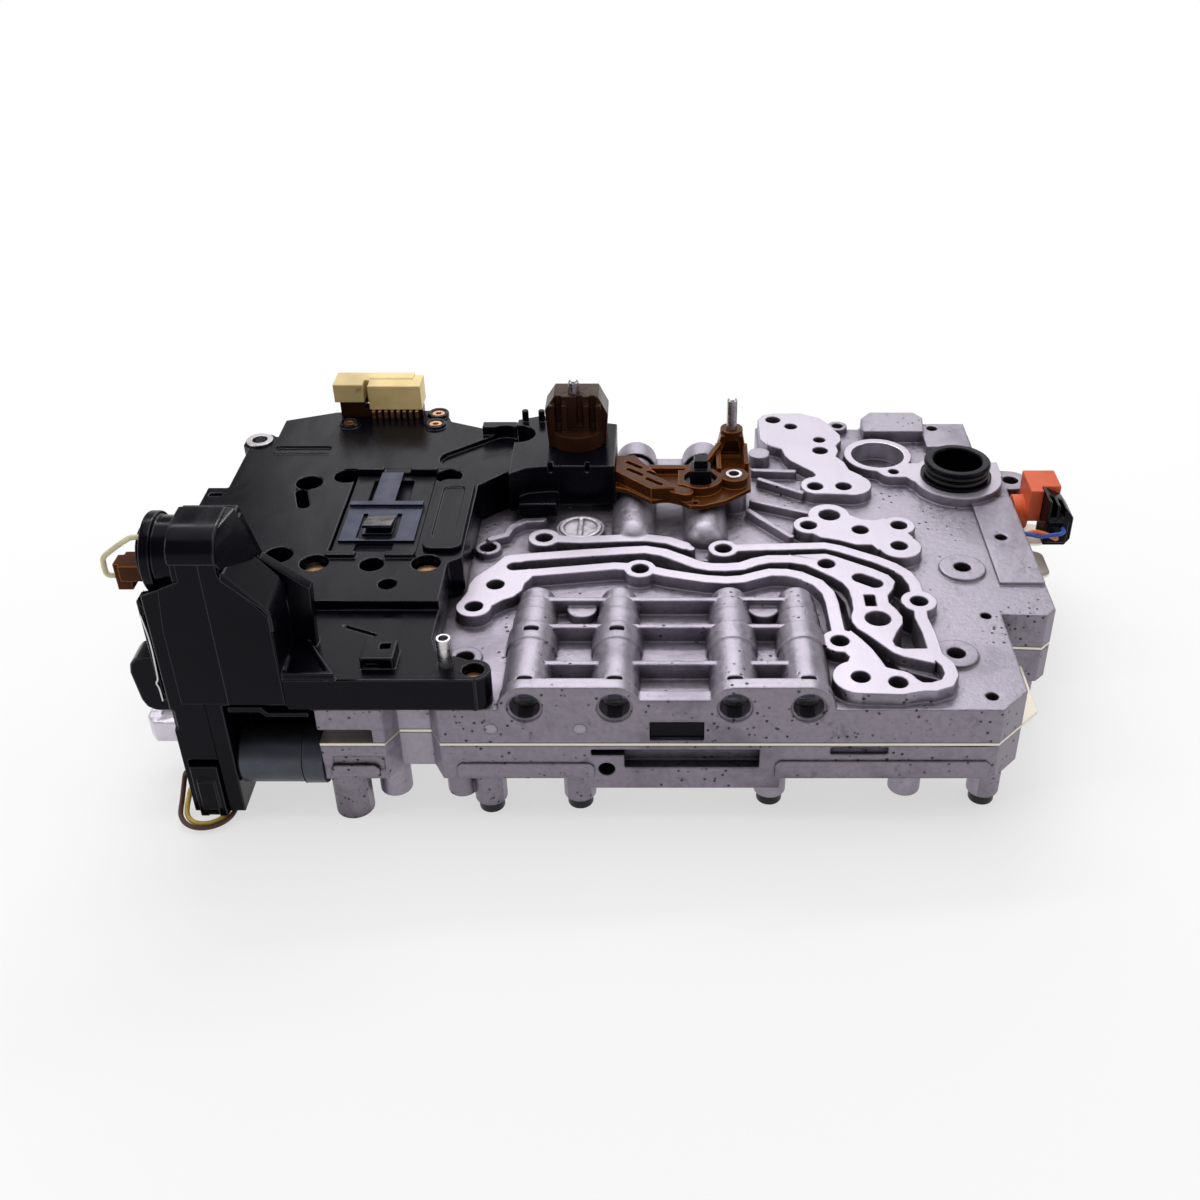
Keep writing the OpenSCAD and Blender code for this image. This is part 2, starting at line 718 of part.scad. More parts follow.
module carrier() {
    color([0.07, 0.07, 0.08])
        difference() {
            union() {
                difference() {
                    raise(floor_z + 2, plate_z)
                        plate_outline();
                    raise(floor_z + 1, plate_z - plate_t)
                        plate_hollow();
                }
                difference() {
                    raise(floor_z, tray_z)
                        tray_outline();
                    slab(-125, -84, 3, 39, floor_z - 1, tray_z - 3);
                }
                // upright with its hollow and back wall
                difference() {
                    along_y(0, 20)
                        tower_profile();
                    along_y(3, 20.5)
                        tower_hollow();
                }
                along_y(19, 23.5)
                    polygon([[-168, floor_z + 2], [-121, floor_z + 2], [-119, 53], [-134, 65],
                        [-139, socket_z + 12],
                        [-157, socket_z + 12], [-168, socket_z - 8]]);
                slab(-150.5, -121, 20.8, 23.5, floor_z - 30, floor_z + 3);
                slab(-152, -149, 17, 23.5, floor_z - 30, floor_z + 3);
                xcyl(socket_y, socket_z, socket_r + 1.6, -157, -141);
                slab(-142, -138, 10, 22, socket_z - 8, socket_z + 10);
                // square front of the socket's hood
                slab(-157, -141, socket_y - socket_r - 1.6, socket_y, socket_z - 13, socket_z);
                // wedge between the upright and the tray
                raise(tray_z - 1, tray_z + 2.6)
                    polygon([[-129, 0.2], [-110.2, 0.2], [-129, 30]]);
                // strap and guard at the left edge
                slab(-171.2, -169.6, 3, 9, floor_z + 2, 59);
                slab(-171.2, -167, 3, 9, floor_z + 2, floor_z + 5);
                slab(-171.2, -165, 3, 9, 54, 57);
                along_y(7, 17)
                    polygon([[-167, 11], [-175.5, 11], [-181, 27], [-178.5, 31], [-167, 31]]);
                // pads for the clip and lips on the plate
                for (x = [-127, -105])
                    for (y = [70, 134])
                        slab(x, x + 11, y - 1, y + 3, plate_z - 1, plate_z + 1.6);
                for (y = [150, 155])
                    slab(-165, -142, y, y + 1.2, plate_z - 1, plate_z + 0.8);
                for (p = [[-138, 177], [-100.5, 176], [-100.5, 186]])
                    zcyl(p[0], p[1], 4.6, plate_z - 1, plate_z + 1.5);
                // arm wall to the sensor box
                slab(-79, -64, 167, 172, plate_z - 2, plate_z + 4);
                slab(-103, -91.5, 6.3, 17, tray_z - 1, tray_z + 4.4);
                // socket of the guide pin
                zcyl(-74.5, 9, 4.2, floor_z, tray_z);
            }
            // access holes, window of the control module and the arm's hollow
            for (p = access)
                zcyl(p[0], p[1], access_r, floor_z, plate_z + 1);
            zcyl(-101, 52, 3.3, floor_z, plate_z + 1);
            zcyl(-109, 65, 4.4, floor_z, plate_z + 1);
            raise(floor_z, plate_z + 1)
                stroke([[-146.5, 118], [-143.5, 108]], 4.6);
            slab(-127, -94, 72, 134, floor_z - 1, plate_z + 3);
            raise(plate_z - 2, plate_z + 9)
                stroke([[-87, 146], [-69, 161]], 15);
            slab(-183, -178, 115, 117.5, plate_z - 1.5, plate_z + 1);
            for (p = [[-138, 177], [-100.5, 176], [-100.5, 186]])
                zcyl(p[0], p[1], 2.9, plate_z - 2, plate_z + 3);
            // bush, pin and screw seats
            zcyl(-173.5, 161, 4.6, floor_z, plate_z + 1);
            zcyl(-74.5, 9, 2.55, floor_z + 1, tray_z + 1);
            zcyl(-65, 6, 3.6, floor_z + 6, tray_z + 1);
            zcyl(-65, 6, 2.3, floor_z - 1, floor_z + 7);
            // socket, and the sunk panel of the tray
            xcyl(socket_y, socket_z, socket_r + 0.05, -170, -143);
            xcyl(socket_y, socket_z, socket_r + 1.6, -170, -162.8);
            raise(tray_z + 1.8, tray_z + 3)
                polygon([[-127.2, 2], [-113.4, 2], [-127.2, 24]]);
            slab(-101.5, -93, 5, 8, tray_z + 0.5, tray_z + 3.2);
            slab(-97, -93.6, 12, 15, tray_z + 2, tray_z + 6);
            raise(tray_z - 1, tray_z + 1)
                seg([-113, 31], [-101, 25.5], 1.4);
            // window of the lower plug
            slab(-166, -156, -1, 11, -31, -6);
            slab(-168.5, -166.8, -1, 1, 8, 16);
            // opening for the lower solenoid's tail
            xcyl(lower_y, lower_z, 8.2, -154, -149);
        }
}

module carrier_base() {
    color([0.06, 0.06, 0.07])
        difference() {
            raise(floor_z, floor_z + 2)
                plate_outline();
            slab(-129, -58, 22, 43, floor_z - 1, floor_z + 3);
            slab(-153, -120, 22, 24, floor_z - 1, floor_z + 3);
            slab(-127, -94, 72, 134, floor_z - 1, floor_z + 3);
            for (p = [access[4], access[5]])
                zcyl(p[0], p[1], 3.1, floor_z - 1, floor_z + 3);
            zcyl(-173.5, 161, 4.6, floor_z - 1, floor_z + 3);
            raise(floor_z - 1, floor_z + 3)
                stroke([[-76, 40], [-76, 66], [-70, 90]], 16);
        }
}

module control_module() {
    color([0.12, 0.12, 0.14])
        difference() {
            slab(-126.7, -94.3, 72.3, 133.7, floor_z, plate_z - 1.4);
            slab(-119, -103, 112, 130, plate_z - 4, plate_z);
            slab(-118, -104, 76, 82, plate_z - 3, plate_z);
        }
}

module spring_clip() {
    z0 = plate_z - 1.4;
    color([0.3, 0.31, 0.36])
        union() {
            difference() {
                slab(-125, -96, 82, 110, z0, z0 + 1);
                slab(-118.5, -116.8, 84, 102, z0 - 1, z0 + 2);
                slab(-105.2, -103.5, 84, 102, z0 - 1, z0 + 2);
                slab(-117, -105, 83, 87, z0 - 1, z0 + 2);
            }
            slab(-116.5, -107.5, 109, 130, z0 + 1.2, z0 + 2.2);
            slab(-125, -96, 107, 110, z0, z0 + 2.2);
            slab(-116.5, -107.5, 129, 133, z0, z0 + 2.2);
            translate([-116.4, 99, z0 + 0.3])
                rotate([-14, 0, 0])
                    translate([0, -12, 0])
                        cube([11, 13, 1.2]);
        }
}

module carrier_cover() {
    color([0.1, 0.1, 0.11])
        difference() {
            raise(plate_z, plate_z + 2)
                rounded(-92, -77, 73, 125.5, 4.5);
            raise(plate_z + 1.2, plate_z + 3)
                rounded(-89, -80.5, 80, 120, 3);
        }
}

module carrier_bush() {
    color([0.75, 0.74, 0.74])
        difference() {
            union() {
                zcyl(-173.5, 161, 4.55, floor_z, plate_z + 1.2);
                zcyl(-173.5, 161, 5.6, plate_z, plate_z + 1.2);
            }
            zcyl(-173.5, 161, 3.2, floor_z - 1, plate_z + 2);
        }
}

module guide_pin() {
    color([0.8, 0.77, 0.74])
        difference() {
            zcyl(-74.5, 9, 2.5, floor_z + 1, tray_z + 11);
            zcyl(-74.5, 9, 1.6, tray_z + 6, tray_z + 12);
        }
}

module carrier_screws() {
    color([0.72, 0.5, 0.3])
        union() {
            for (p = [access[4], access[5]]) {
                zcyl(p[0], p[1], 3, 6.5, floor_z + 3);
                zcyl(p[0], p[1], 4.6, floor_z + 2, plate_z - 4);
            }
            zcyl(-65, 6, 3.4, floor_z + 6, floor_z + 9.5);
            zcyl(-65, 6, 2, 11, floor_z + 7);
        }
}

module box_outline() {
    polygon([[-63.8, 124], [-57, 129], [-49, 130.5], [-21, 130.5], [-21, 168], [-34, 171], [-54, 176],
        [-63.8, 172]]);
}

module sensor_box() {
    color([0.07, 0.07, 0.08])
        difference() {
            union() {
                raise(floor_z + 4, box_z)
                    box_outline();
                for (x = [-60.5, -53.5])
                    zcyl(x, 171, 1.4, box_z - 1, box_z + 5);
                slab(-60, -44.5, 120.5, 131.5, floor_z + 4, box_z - 12);
            }
            slab(-60, -24, 133.5, 165, floor_z + 8, box_z - 3);
            slab(-60, -52, 140, 165, floor_z + 3, floor_z + 9);
            zcyl(-63, 159, 7.5, box_z - 9, box_z + 1);
            for (x = [-48, -33])
                slab(x, x + 1.6, 129, 134, box_z - 3, box_z + 1);
            zcyl(-37, 155, 9, box_z - 4, box_z + 1);
        }
}

module sensor_tower() {
    color([0.2, 0.07, 0.04])
        difference() {
            union() {
                along_y(149, 162)
                    polygon([[-49, box_z], [-25, box_z], [-24, box_z + tower_h - 8],
                        [-28, box_z + tower_h],
                        [-46, box_z + tower_h], [-50, box_z + tower_h - 6]]);
                for (x = [-48, -43, -34, -29])
                    slab(x, x + 2.2, 146.6, 150, box_z, box_z + tower_h - 3);
                zcyl(-37, 153, 11.5, box_z, box_z + 7);
                zcyl(-37, 155, 8.9, box_z - 4, box_z + 1);
            }
            zcyl(-38, 153, pin_r + 0.05, box_z + 6, box_z + tower_h + 1);
            for (x = [-45.6, -36.8, -31.6])
                slab(x, x + 2.4, 146, 150.2, box_z + 9, box_z + tower_h + 1);
        }
}

module tower_pin() {
    color([0.8, 0.8, 0.82])
        union() {
            zcyl(-38, 153, pin_r, box_z + 6, box_z + tower_h + 5);
            translate([-38, 153, box_z + tower_h + 5])
                cylinder(r1 = pin_r, r2 = pin_r - 0.8, h = 0.9);
        }
}

module bracket_outline() {
    polygon([[-20.8, 150], [-20.8, 131], [-16, 129], [-6, 120], [2, 122], [10, 116], [15, 116],
        [24, 120], [35, 130],
        [35.5, 146], [34.5, 163], [22, 163], [18, 150], [2, 150]]);
}

module sensor_bracket() {
    z0 = floor_z + 10;
    color([0.4, 0.19, 0.08])
        difference() {
            union() {
                raise(z0, z0 + 2)
                    bracket_outline();
                // louvred panel and the nose in front of it
                raise(z0, z0 + 7)
                    polygon([[-20.8, 149], [-13, 149], [3.5, 121.5], [-6, 121], [-20.8, 135.5]]);
                raise(z0, z0 + 5.5)
                    stroke([[0, 125], [8, 121.5]], 6);
                // cup of the position sensor and boss of the bush
                zcyl(14, 132, 9, z0, z0 + 6);
                slab(5, 14, 126, 138, z0, z0 + 6);
                zcyl(28, 134.5, 5.8, z0, z0 + 6);
                // pylon with its ribs and the pin's collar
                along_y(156.5, 163)
                    polygon([[20.5, z0], [34.8, z0], [32.5, z0 + 12], [23.2, z0 + 12]]);
                slab(32.6, 34.6, 142, 160, z0, z0 + 7);
                slab(21, 23, 138, 160, z0, z0 + 7);
                slab(-10, 8, 141.5, 144, z0, z0 + 5);
                raise(z0, z0 + 9)
                    seg([15.5, 139], [23.5, 159], 2);
                zcyl(27.8, 160.5, 4.8, z0 + 10.4, z0 + 14);
            }
            zcyl(14, 132, 6.6, z0 + 3, z0 + 8);
            zcyl(28, 134.5, 3.45, z0 - 1, z0 + 8);
            zcyl(27.8, 160.5, pin_r - 0.15, z0 + 10.4, z0 + 20);
            for (p = [[-13.3, 141], [-12.8, 135], [-4.4, 133], [-4.8, 127]])
                raise(z0 + 3, z0 + 8)
                    seg([p[0] - 3.4, p[1] + 2.8], [p[0] + 3.4, p[1] - 2.8], 2);
            // sunk panel of the pylon
            along_y(155, 159)
                polygon([[23, z0 + 3], [32.2, z0 + 3], [30.4, z0 + 9.6], [25.2, z0 + 9.6]]);
            zcyl(12, 118.5, 1.3, z0 - 1, z0 + 3);
        }
}

module hall_sensor() {
    z0 = floor_z + 13;
    color([0.05, 0.05, 0.06])
        union() {
            slab(10, 18.4, 128, 136, z0, z0 + 8);
            zcyl(14, 132, 6.4, z0, z0 + 1.5);
            slab(11.4, 17, 129.4, 135, z0 + 7, z0 + 12);
        }
}

module bracket_pin() {
    z0 = floor_z + 20.4;
    neck = floor_z + 24.3;
    top = floor_z + 24 + pin_len;
    color([0.8, 0.8, 0.82])
        union() {
            zcyl(27.8, 160.5, pin_r - 0.2, z0, neck + 1);
            zcyl(27.8, 160.5, pin_r, neck, top);
            translate([27.8, 160.5, top])
                cylinder(r1 = pin_r, r2 = pin_r - 0.8, h = 0.9);
        }
}

module bracket_bush() {
    z0 = floor_z + 10;
    color([0.75, 0.74, 0.74])
        difference() {
            zcyl(28, 134.5, 3.4, z0, z0 + 6.5);
            zcyl(28, 134.5, 2.1, z0 - 1, z0 + 8);
        }
}

module plug_connector() {
    color([0.86, 0.79, 0.55])
        difference() {
            union() {
                slab(-145, -130, 183, 195, plate_z + 7.5, plate_z + 16);
                slab(-130.5, -107, 183, 195, plate_z + 4, plate_z + 15.4);
                slab(-145, -111, 190, 196, plate_z + 4, plate_z + 16);
            }
            slab(-132, -130, 182, 188, plate_z + 2, plate_z + 17);
            slab(-135, -132.5, 182, 183.6, plate_z + 12, plate_z + 14);
        }
}

module pin_holder() {
    color([0.33, 0.14, 0.07])
        union() {
            slab(-142, -107, 184, 190, plate_z, plate_z + 4);
            slab(-143, -132, 184, 190, plate_z, plate_z + 7.5);
        }
}

module connector_pins() {
    color([0.66, 0.4, 0.22])
        for (i = [0:7])
            slab(-129 + i * 2.7, -127.6 + i * 2.7, 181.6, 184, plate_z, plate_z + 4);
}

module connector_screws() {
    color([0.5, 0.4, 0.33])
        for (p = [[-138, 177], [-100.5, 176], [-100.5, 186]])
            difference() {
                zcyl(p[0], p[1], 2.85, plate_z - 2, plate_z + 1);
                translate([p[0], p[1], plate_z - 0.4])
                    cylinder(r = 1.3, h = 2, $fn = 6);
            }
}

module round_solenoid() {
    color([0.08, 0.08, 0.09])
        difference() {
            union() {
                xcyl(socket_y, socket_z, socket_r, -164, -143);
                xcyl(socket_y, socket_z, socket_r + 1.4, -166.5, -163);
                xcyl(socket_y, socket_z, socket_r - 3, -169, -166);
            }
            slab(-170, -166.5, socket_y - 7.5, socket_y + 2, socket_z - 7, socket_z - 1);
        }
}

module contact_block() {
    color([0.45, 0.2, 0.1])
        union() {
            slab(-176, -166.5, socket_y - 7.4, socket_y + 1.9, socket_z - 6.9, socket_z - 1.1);
            slab(-178, -173, socket_y - 6, socket_y, socket_z - 11, socket_z - 1.1);
        }
}

module contact_lead() {
    p = [[-166.5, socket_y - 6, socket_z + 9.2], [-170, socket_y - 6, socket_z + 9.2],
        [-181, socket_y - 5, socket_z + 1], [-181, socket_y - 5, socket_z - 6],
        [-178, socket_y - 5, socket_z - 6]];
    color([0.9, 0.85, 0.65])
        union() {
            for (i = [0:3])
                rod(p[i], p[i + 1], lead_r);
            for (i = [1, 2, 3])
                translate(p[i])
                    sphere(lead_r * 1.1);
        }
}

module lower_solenoid() {
    color([0.28, 0.3, 0.34])
        union() {
            xcyl(lower_y, lower_z, 10.3, -149, -119.6);
            xcyl(lower_y, lower_z, 10.7, -127, -119.6);
            xcyl(lower_y, lower_z, 9.6, -149.5, -148);
            xcyl(lower_y, lower_z + 2, 4.4, -120, -115);
            xcyl(lower_y, lower_z, 8, -153, -148);
        }
}

module lower_plug() {
    color([0.06, 0.06, 0.07])
        difference() {
            union() {
                slab(-165.8, -156.2, -1.5, 11, -31, -8);
                slab(-164, -158, -2.5, 2, -27, -14);
            }
            slab(-163, -159, -3, -1, -31.5, -27);
        }
}

// A lead's loop under the lower plug, in a plane of its own
module lead_loop(r, x1, x_top, y_side, z_side) {
    z = -31.9;
    y = 3;
    c = -164.5;
    translate([c, y, z])
        rotate([0, 0, 177])
            rotate_extrude(angle = 186)
                translate([r, 0])
                    circle(lead_r);
    // right end, up to what it enters
    translate([c + r, y, z])
        sphere(lead_r * 1.1);
    rod([c + r, y, z], [c + r, y, x_top], lead_r);
    // left end, back and up the side of the leg
    translate([c - r, y, z])
        sphere(lead_r * 1.1);
    rod([c - r, y, z], [c - r, y_side, z], lead_r);
    translate([c - r, y_side, z])
        sphere(lead_r * 1.1);
    rod([c - r, y_side, z], [c - r, y_side, z_side], lead_r);
    translate([c - r, y_side, z_side])
        sphere(lead_r * 1.1);
    rod([c - r, y_side, z_side], [x1, y_side, z_side], lead_r);
}

module lead_yellow() {
    color([0.85, 0.72, 0.3])
        union() {
            lead_loop(7.4, -168, -31, 8, -26);
        }
}

module lead_brown() {
    color([0.3, 0.13, 0.08])
        union() {
            lead_loop(9.6, -168, -30, 12, -22);
        }
}

module side_solenoid() {
    color([0.86, 0.33, 0.22])
        union() {
            difference() {
                slab(150.6, 164, 130, 148, 12, 26.5);
                slab(156, 165, 129, 134, 11, 28);
            }
            xcyl(140, 11, 7.2, 146, 152);
            xcyl(140, 9.5, 5.1, 138.5, 147);
        }
}

module side_plug() {
    color([0.06, 0.06, 0.07])
        difference() {
            union() {
                along_y(121, 134)
                    polygon([[156, 6], [165, 6], [167, 9], [167, 19], [164, 23], [156, 27]]);
                slab(157, 165, 119.6, 122, 8, 18);
            }
            for (x = [157.4, 161])
                slab(x, x + 2.2, 120, 128, 19, 30);
        }
}

module lead_blue() {
    p = [[162.6, 119.6, 15], [162.6, 115.5, 15], [146, 115.5, 15]];
    color([0.1, 0.25, 0.7])
        union() {
            for (i = [0, 1])
                rod(p[i], p[i + 1], lead_r);
            translate(p[1])
                sphere(lead_r * 1.1);
        }
}

module lead_orange() {
    p = [[160.4, 119.6, 11], [160.4, 116.5, 11], [146, 116.5, 11]];
    color([0.95, 0.42, 0.15])
        union() {
            for (i = [0, 1])
                rod(p[i], p[i + 1], lead_r);
            translate(p[1])
                sphere(lead_r * 1.1);
        }
}

// Moves what sits on the castings' right edge along with it
module at_side() {
    translate([body_right - 146, 0, 0])
        children();
}

module placed() {
    translate(base_at)
        children();
}

placed() upper_housing();
placed() separator_plate();
placed() lower_housing();
placed() housing_bolts();
placed() front_spool(0);  // spool_1
placed() front_spool(1);  // spool_2
placed() front_spool(2);  // spool_3
placed() front_spool(3);  // spool_4
placed() front_spring(0);  // spring_1
placed() front_spring(1);  // spring_2
placed() front_spring(2);  // spring_3
placed() front_spring(3);  // spring_4
placed() rear_spool(0);  // rear_spool_1
placed() rear_spool(1);  // rear_spool_2
placed() rear_spring(0);  // rear_spring_1
placed() rear_spring(1);  // rear_spring_2
placed() valve_plugs();
placed() rear_plugs();
placed() retaining_keys();
placed() selector_valve();
placed() screw_plug();
placed() check_balls();
placed() oil_spigot();
placed() spigot_seals();
placed() carrier();
placed() carrier_base();
placed() control_module();
placed() spring_clip();
placed() carrier_cover();
placed() carrier_bush();
placed() guide_pin();
placed() carrier_screws();
placed() sensor_box();
placed() sensor_tower();
placed() tower_pin();
placed() sensor_bracket();
placed() hall_sensor();
placed() bracket_pin();
placed() bracket_bush();
placed() plug_connector();
placed() pin_holder();
placed() connector_pins();
placed() connector_screws();
placed() round_solenoid();
placed() contact_block();
placed() contact_lead();
placed() lower_solenoid();
placed() lower_plug();
placed() lead_yellow();
placed() lead_brown();
placed() at_side() side_solenoid();
placed() at_side() side_plug();
placed() at_side() lead_blue();
placed() at_side() lead_orange();
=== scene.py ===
"""Looks of the transmission valve body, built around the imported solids."""
import json
import math

import bmesh
import bpy
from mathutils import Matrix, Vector
from mathutils.bvhtree import BVHTree

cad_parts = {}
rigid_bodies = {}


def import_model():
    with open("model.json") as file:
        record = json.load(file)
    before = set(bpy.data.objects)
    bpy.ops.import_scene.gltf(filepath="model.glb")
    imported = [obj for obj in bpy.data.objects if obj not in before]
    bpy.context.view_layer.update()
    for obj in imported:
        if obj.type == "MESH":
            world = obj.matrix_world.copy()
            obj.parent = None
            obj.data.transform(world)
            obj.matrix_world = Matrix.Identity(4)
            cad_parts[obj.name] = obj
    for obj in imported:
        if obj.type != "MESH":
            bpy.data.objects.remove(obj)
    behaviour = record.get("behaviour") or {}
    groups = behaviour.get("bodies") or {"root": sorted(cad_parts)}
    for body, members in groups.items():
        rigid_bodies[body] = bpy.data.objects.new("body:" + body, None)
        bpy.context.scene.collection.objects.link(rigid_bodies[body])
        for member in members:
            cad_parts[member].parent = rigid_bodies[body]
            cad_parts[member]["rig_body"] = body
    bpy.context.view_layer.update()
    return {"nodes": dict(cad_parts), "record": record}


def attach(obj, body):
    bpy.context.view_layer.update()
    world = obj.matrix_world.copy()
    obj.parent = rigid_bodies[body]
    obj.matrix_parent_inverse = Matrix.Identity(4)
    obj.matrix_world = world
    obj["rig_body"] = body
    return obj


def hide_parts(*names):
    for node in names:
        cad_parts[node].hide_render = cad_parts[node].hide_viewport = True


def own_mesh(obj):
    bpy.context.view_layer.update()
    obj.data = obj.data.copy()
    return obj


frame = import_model()
NODES = frame["nodes"]

# Shift from the separator plate's frame, in millimetres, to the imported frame
SHIFT = Vector((10.5, -102.25, 34.0))
MM = 0.001
# Heights of the casting's floor, its lands and its bores, and the bores' places
FLOOR_Z, LAND_Z = 16.0, 21.0
FRONT_X, FRONT_BORE_Z = (-48, -17.5, 23.5, 48.5), 16.5
REAR_X, REAR_BORE_Z = (-13, 16), 16
# Points nearer than this, in metres, are one, and points farther than this from the solid go back to it
WELD, STRAY = 2e-6, 0.0004
# Share of a cell at which the first cut through a flat face lies
FIRST_CUT = 0.6134
AIM = (0, 0, 0.03)


def at(x, y, z):
    """A place in the separator's frame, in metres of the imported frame."""
    return (Vector((x, y, z)) + SHIFT) * MM


# Materials
class Look:
    """A material whose colours, roughness and bump come from nodes."""

    def __init__(self, name):
        self.mat = bpy.data.materials.new(name)
        self.mat.use_nodes = True
        self.tree = self.mat.node_tree
        self.bsdf = self.tree.nodes["Principled BSDF"]
        self.pos = self.add("ShaderNodeTexCoord").outputs["Object"]

    def add(self, kind, **props):
        node = self.tree.nodes.new(kind)
        for key, value in props.items():
            setattr(node, key, value)
        return node

    def feed(self, socket, value):
        if isinstance(value, bpy.types.NodeSocket):
            self.tree.links.new(value, socket)
        else:
            socket.default_value = value

    def stretch(self, x, y, z):
        node = self.add("ShaderNodeMapping")
        self.feed(node.inputs["Vector"], self.pos)
        node.inputs["Scale"].default_value = (x, y, z)
        return node.outputs["Vector"]

    def noise(self, scale, detail=4.0, rough=0.55, vector=None, distort=0.0):
        node = self.add("ShaderNodeTexNoise")
        self.feed(node.inputs["Vector"], vector or self.pos)
        node.inputs["Scale"].default_value = scale
        node.inputs["Detail"].default_value = detail
        node.inputs["Roughness"].default_value = rough
        node.inputs["Distortion"].default_value = distort
        return node.outputs["Fac"]

    def cells(self, scale):
        node = self.add("ShaderNodeTexVoronoi", feature="F1")
        self.feed(node.inputs["Vector"], self.pos)
        node.inputs["Scale"].default_value = scale
        return node.outputs["Distance"]

    def span(self, fac, low, high, to_low=0.0, to_high=1.0):
        node = self.add("ShaderNodeMapRange", interpolation_type="SMOOTHSTEP")
        self.feed(node.inputs["Value"], fac)
        for key, value in zip(("From Min", "From Max", "To Min", "To Max"), (low, high, to_low, to_high)):
            node.inputs[key].default_value = value
        return node.outputs["Result"]

    def calc(self, op, a, b=0.0):
        node = self.add("ShaderNodeMath", operation=op)
        self.feed(node.inputs[0], a)
        self.feed(node.inputs[1], b)
        return node.outputs[0]

    def mix(self, fac, a, b):
        node = self.add("ShaderNodeMix", data_type="RGBA")
        self.feed(node.inputs[0], fac)
        self.feed(node.inputs[6], a if isinstance(a, bpy.types.NodeSocket) else (*a, 1.0))
        self.feed(node.inputs[7], b if isinstance(b, bpy.types.NodeSocket) else (*b, 1.0))
        return node.outputs[2]

    def corners(self, reach, low, high):
        """One in tight corners and pockets, nought on open faces."""
        node = self.add("ShaderNodeAmbientOcclusion", samples=6)
        node.inputs["Distance"].default_value = reach
        return self.span(node.outputs["AO"], low, high, 1.0, 0.0)

    def bump(self, height, strength, distance, soft=0.0):
        node = self.add("ShaderNodeBump")
        if soft:
            edge = self.add("ShaderNodeBevel", samples=4)
            edge.inputs["Radius"].default_value = soft
            self.feed(node.inputs["Normal"], edge.outputs["Normal"])
        self.feed(node.inputs["Height"], height)
        node.inputs["Strength"].default_value = strength
        node.inputs["Distance"].default_value = distance
        self.feed(self.bsdf.inputs["Normal"], node.outputs["Normal"])

    def set(self, **values):
        for key, value in values.items():
            self.feed(self.bsdf.inputs[key.replace("_", " ")], value)
        return self


def cast_look(name, dark, light, stain_and_shade, pores, metal=0.8, rough=0.4):
    """Die-cast alloy: mottled, stained in patches, with painted shade darkening its corners and pockets, and open
    pores.
    """
    look = Look(name)
    broad = look.noise(38, 3)
    fine = look.noise(420, 5, 0.65)
    base = look.mix(look.span(fine, 0.2, 0.8, 0.2, 0.8), dark, light)
    patch = look.span(look.noise(24, 4, 0.6, distort=0.4), 0.5, 0.72)
    base = look.mix(look.calc("MULTIPLY", patch, 0.6), base, stain_and_shade)
    smear = look.span(look.noise(110, 4, 0.7, look.stretch(1.0, 0.5, 1.0), 0.8), 0.58, 0.72)
    base = look.mix(look.calc("MULTIPLY", smear, 0.45), base, stain_and_shade)
    pit = look.span(look.cells(330), 0.10, 0.24, 1.0, 0.0)
    pit = look.calc("MULTIPLY", pit, look.span(look.noise(55, 3), 0.62 - pores * 0.22, 0.72 - pores * 0.2))
    base = look.mix(look.calc("MULTIPLY", pit, 0.9), base, (0.02, 0.018, 0.022))
    # painted shade: corners and pockets darkened from ambient occlusion, toward a dark tone of the stain colour
    painted_shade = look.calc("MULTIPLY", look.corners(0.008, 0.25, 0.88), 0.75)
    base = look.mix(painted_shade, base, [c * 0.22 for c in stain_and_shade])
    height = look.calc("ADD", look.calc("MULTIPLY", fine, 0.6), look.calc("MULTIPLY", pit, -0.9))
    height = look.calc("ADD", height, look.calc("MULTIPLY", broad, 0.5))
    look.bump(height, 0.6, 0.0005, 0.0011)
    look.set(Base_Color=base, Roughness=look.span(fine, 0.25, 0.75, rough - 0.1, rough + 0.14), Metallic=metal)
    return look.mat


def machined_look(name, colour, pitch, rough=0.28):
    """Milled metal: fine parallel tool arcs, light scratches and a few stains."""
    look = Look(name)
    wave = look.add("ShaderNodeTexWave", wave_type="RINGS", rings_direction="Z", wave_profile="SIN")
    shift = look.add("ShaderNodeMapping")
    look.feed(shift.inputs["Vector"], look.pos)
    shift.inputs["Location"].default_value = (0.35, 0.62, 0.0)
    look.feed(wave.inputs["Vector"], shift.outputs["Vector"])
    wave.inputs["Scale"].default_value = 1.0 / pitch / 3.1
    wave.inputs["Distortion"].default_value = 0.6
    wave.inputs["Detail Scale"].default_value = 2.0
    arcs = wave.outputs["Fac"]
    cloud = look.noise(45, 4, 0.6)
    scratch = look.noise(900, 3, 0.6, look.stretch(1.0, 0.06, 1.0))
    spots = look.span(look.noise(150, 4, 0.7), 0.66, 0.78)
    base = look.mix(look.span(cloud, 0.35, 0.7), [c * 0.95 for c in colour], colour)
    base = look.mix(look.calc("MULTIPLY", spots, 0.3), base, [c * 0.55 for c in colour])
    look.bump(look.calc("ADD", look.calc("MULTIPLY", arcs, 0.4), scratch), 0.05, 0.00025)
    look.set(Base_Color=base, Roughness=look.span(scratch, 0.3, 0.75, rough - 0.02, rough + 0.04), Metallic=0.85)
    return look.mat


def steel_look(name, colour, rough=0.25, metal=1.0):
    """Ground or drawn metal with fine turning lines and handling marks."""
    look = Look(name)
    lines = look.noise(900, 2, 0.5, look.stretch(0.15, 0.15, 1.0))
    cloud = look.noise(120, 4, 0.6)
    base = look.mix(look.span(cloud, 0.3, 0.75), [c * 0.82 for c in colour], colour)
    look.bump(look.calc("ADD", lines, cloud), 0.015, 0.0002)
    look.set(Base_Color=base, Roughness=look.span(lines, 0.25, 0.75, rough - 0.05, rough + 0.12), Metallic=metal)
    return look.mat


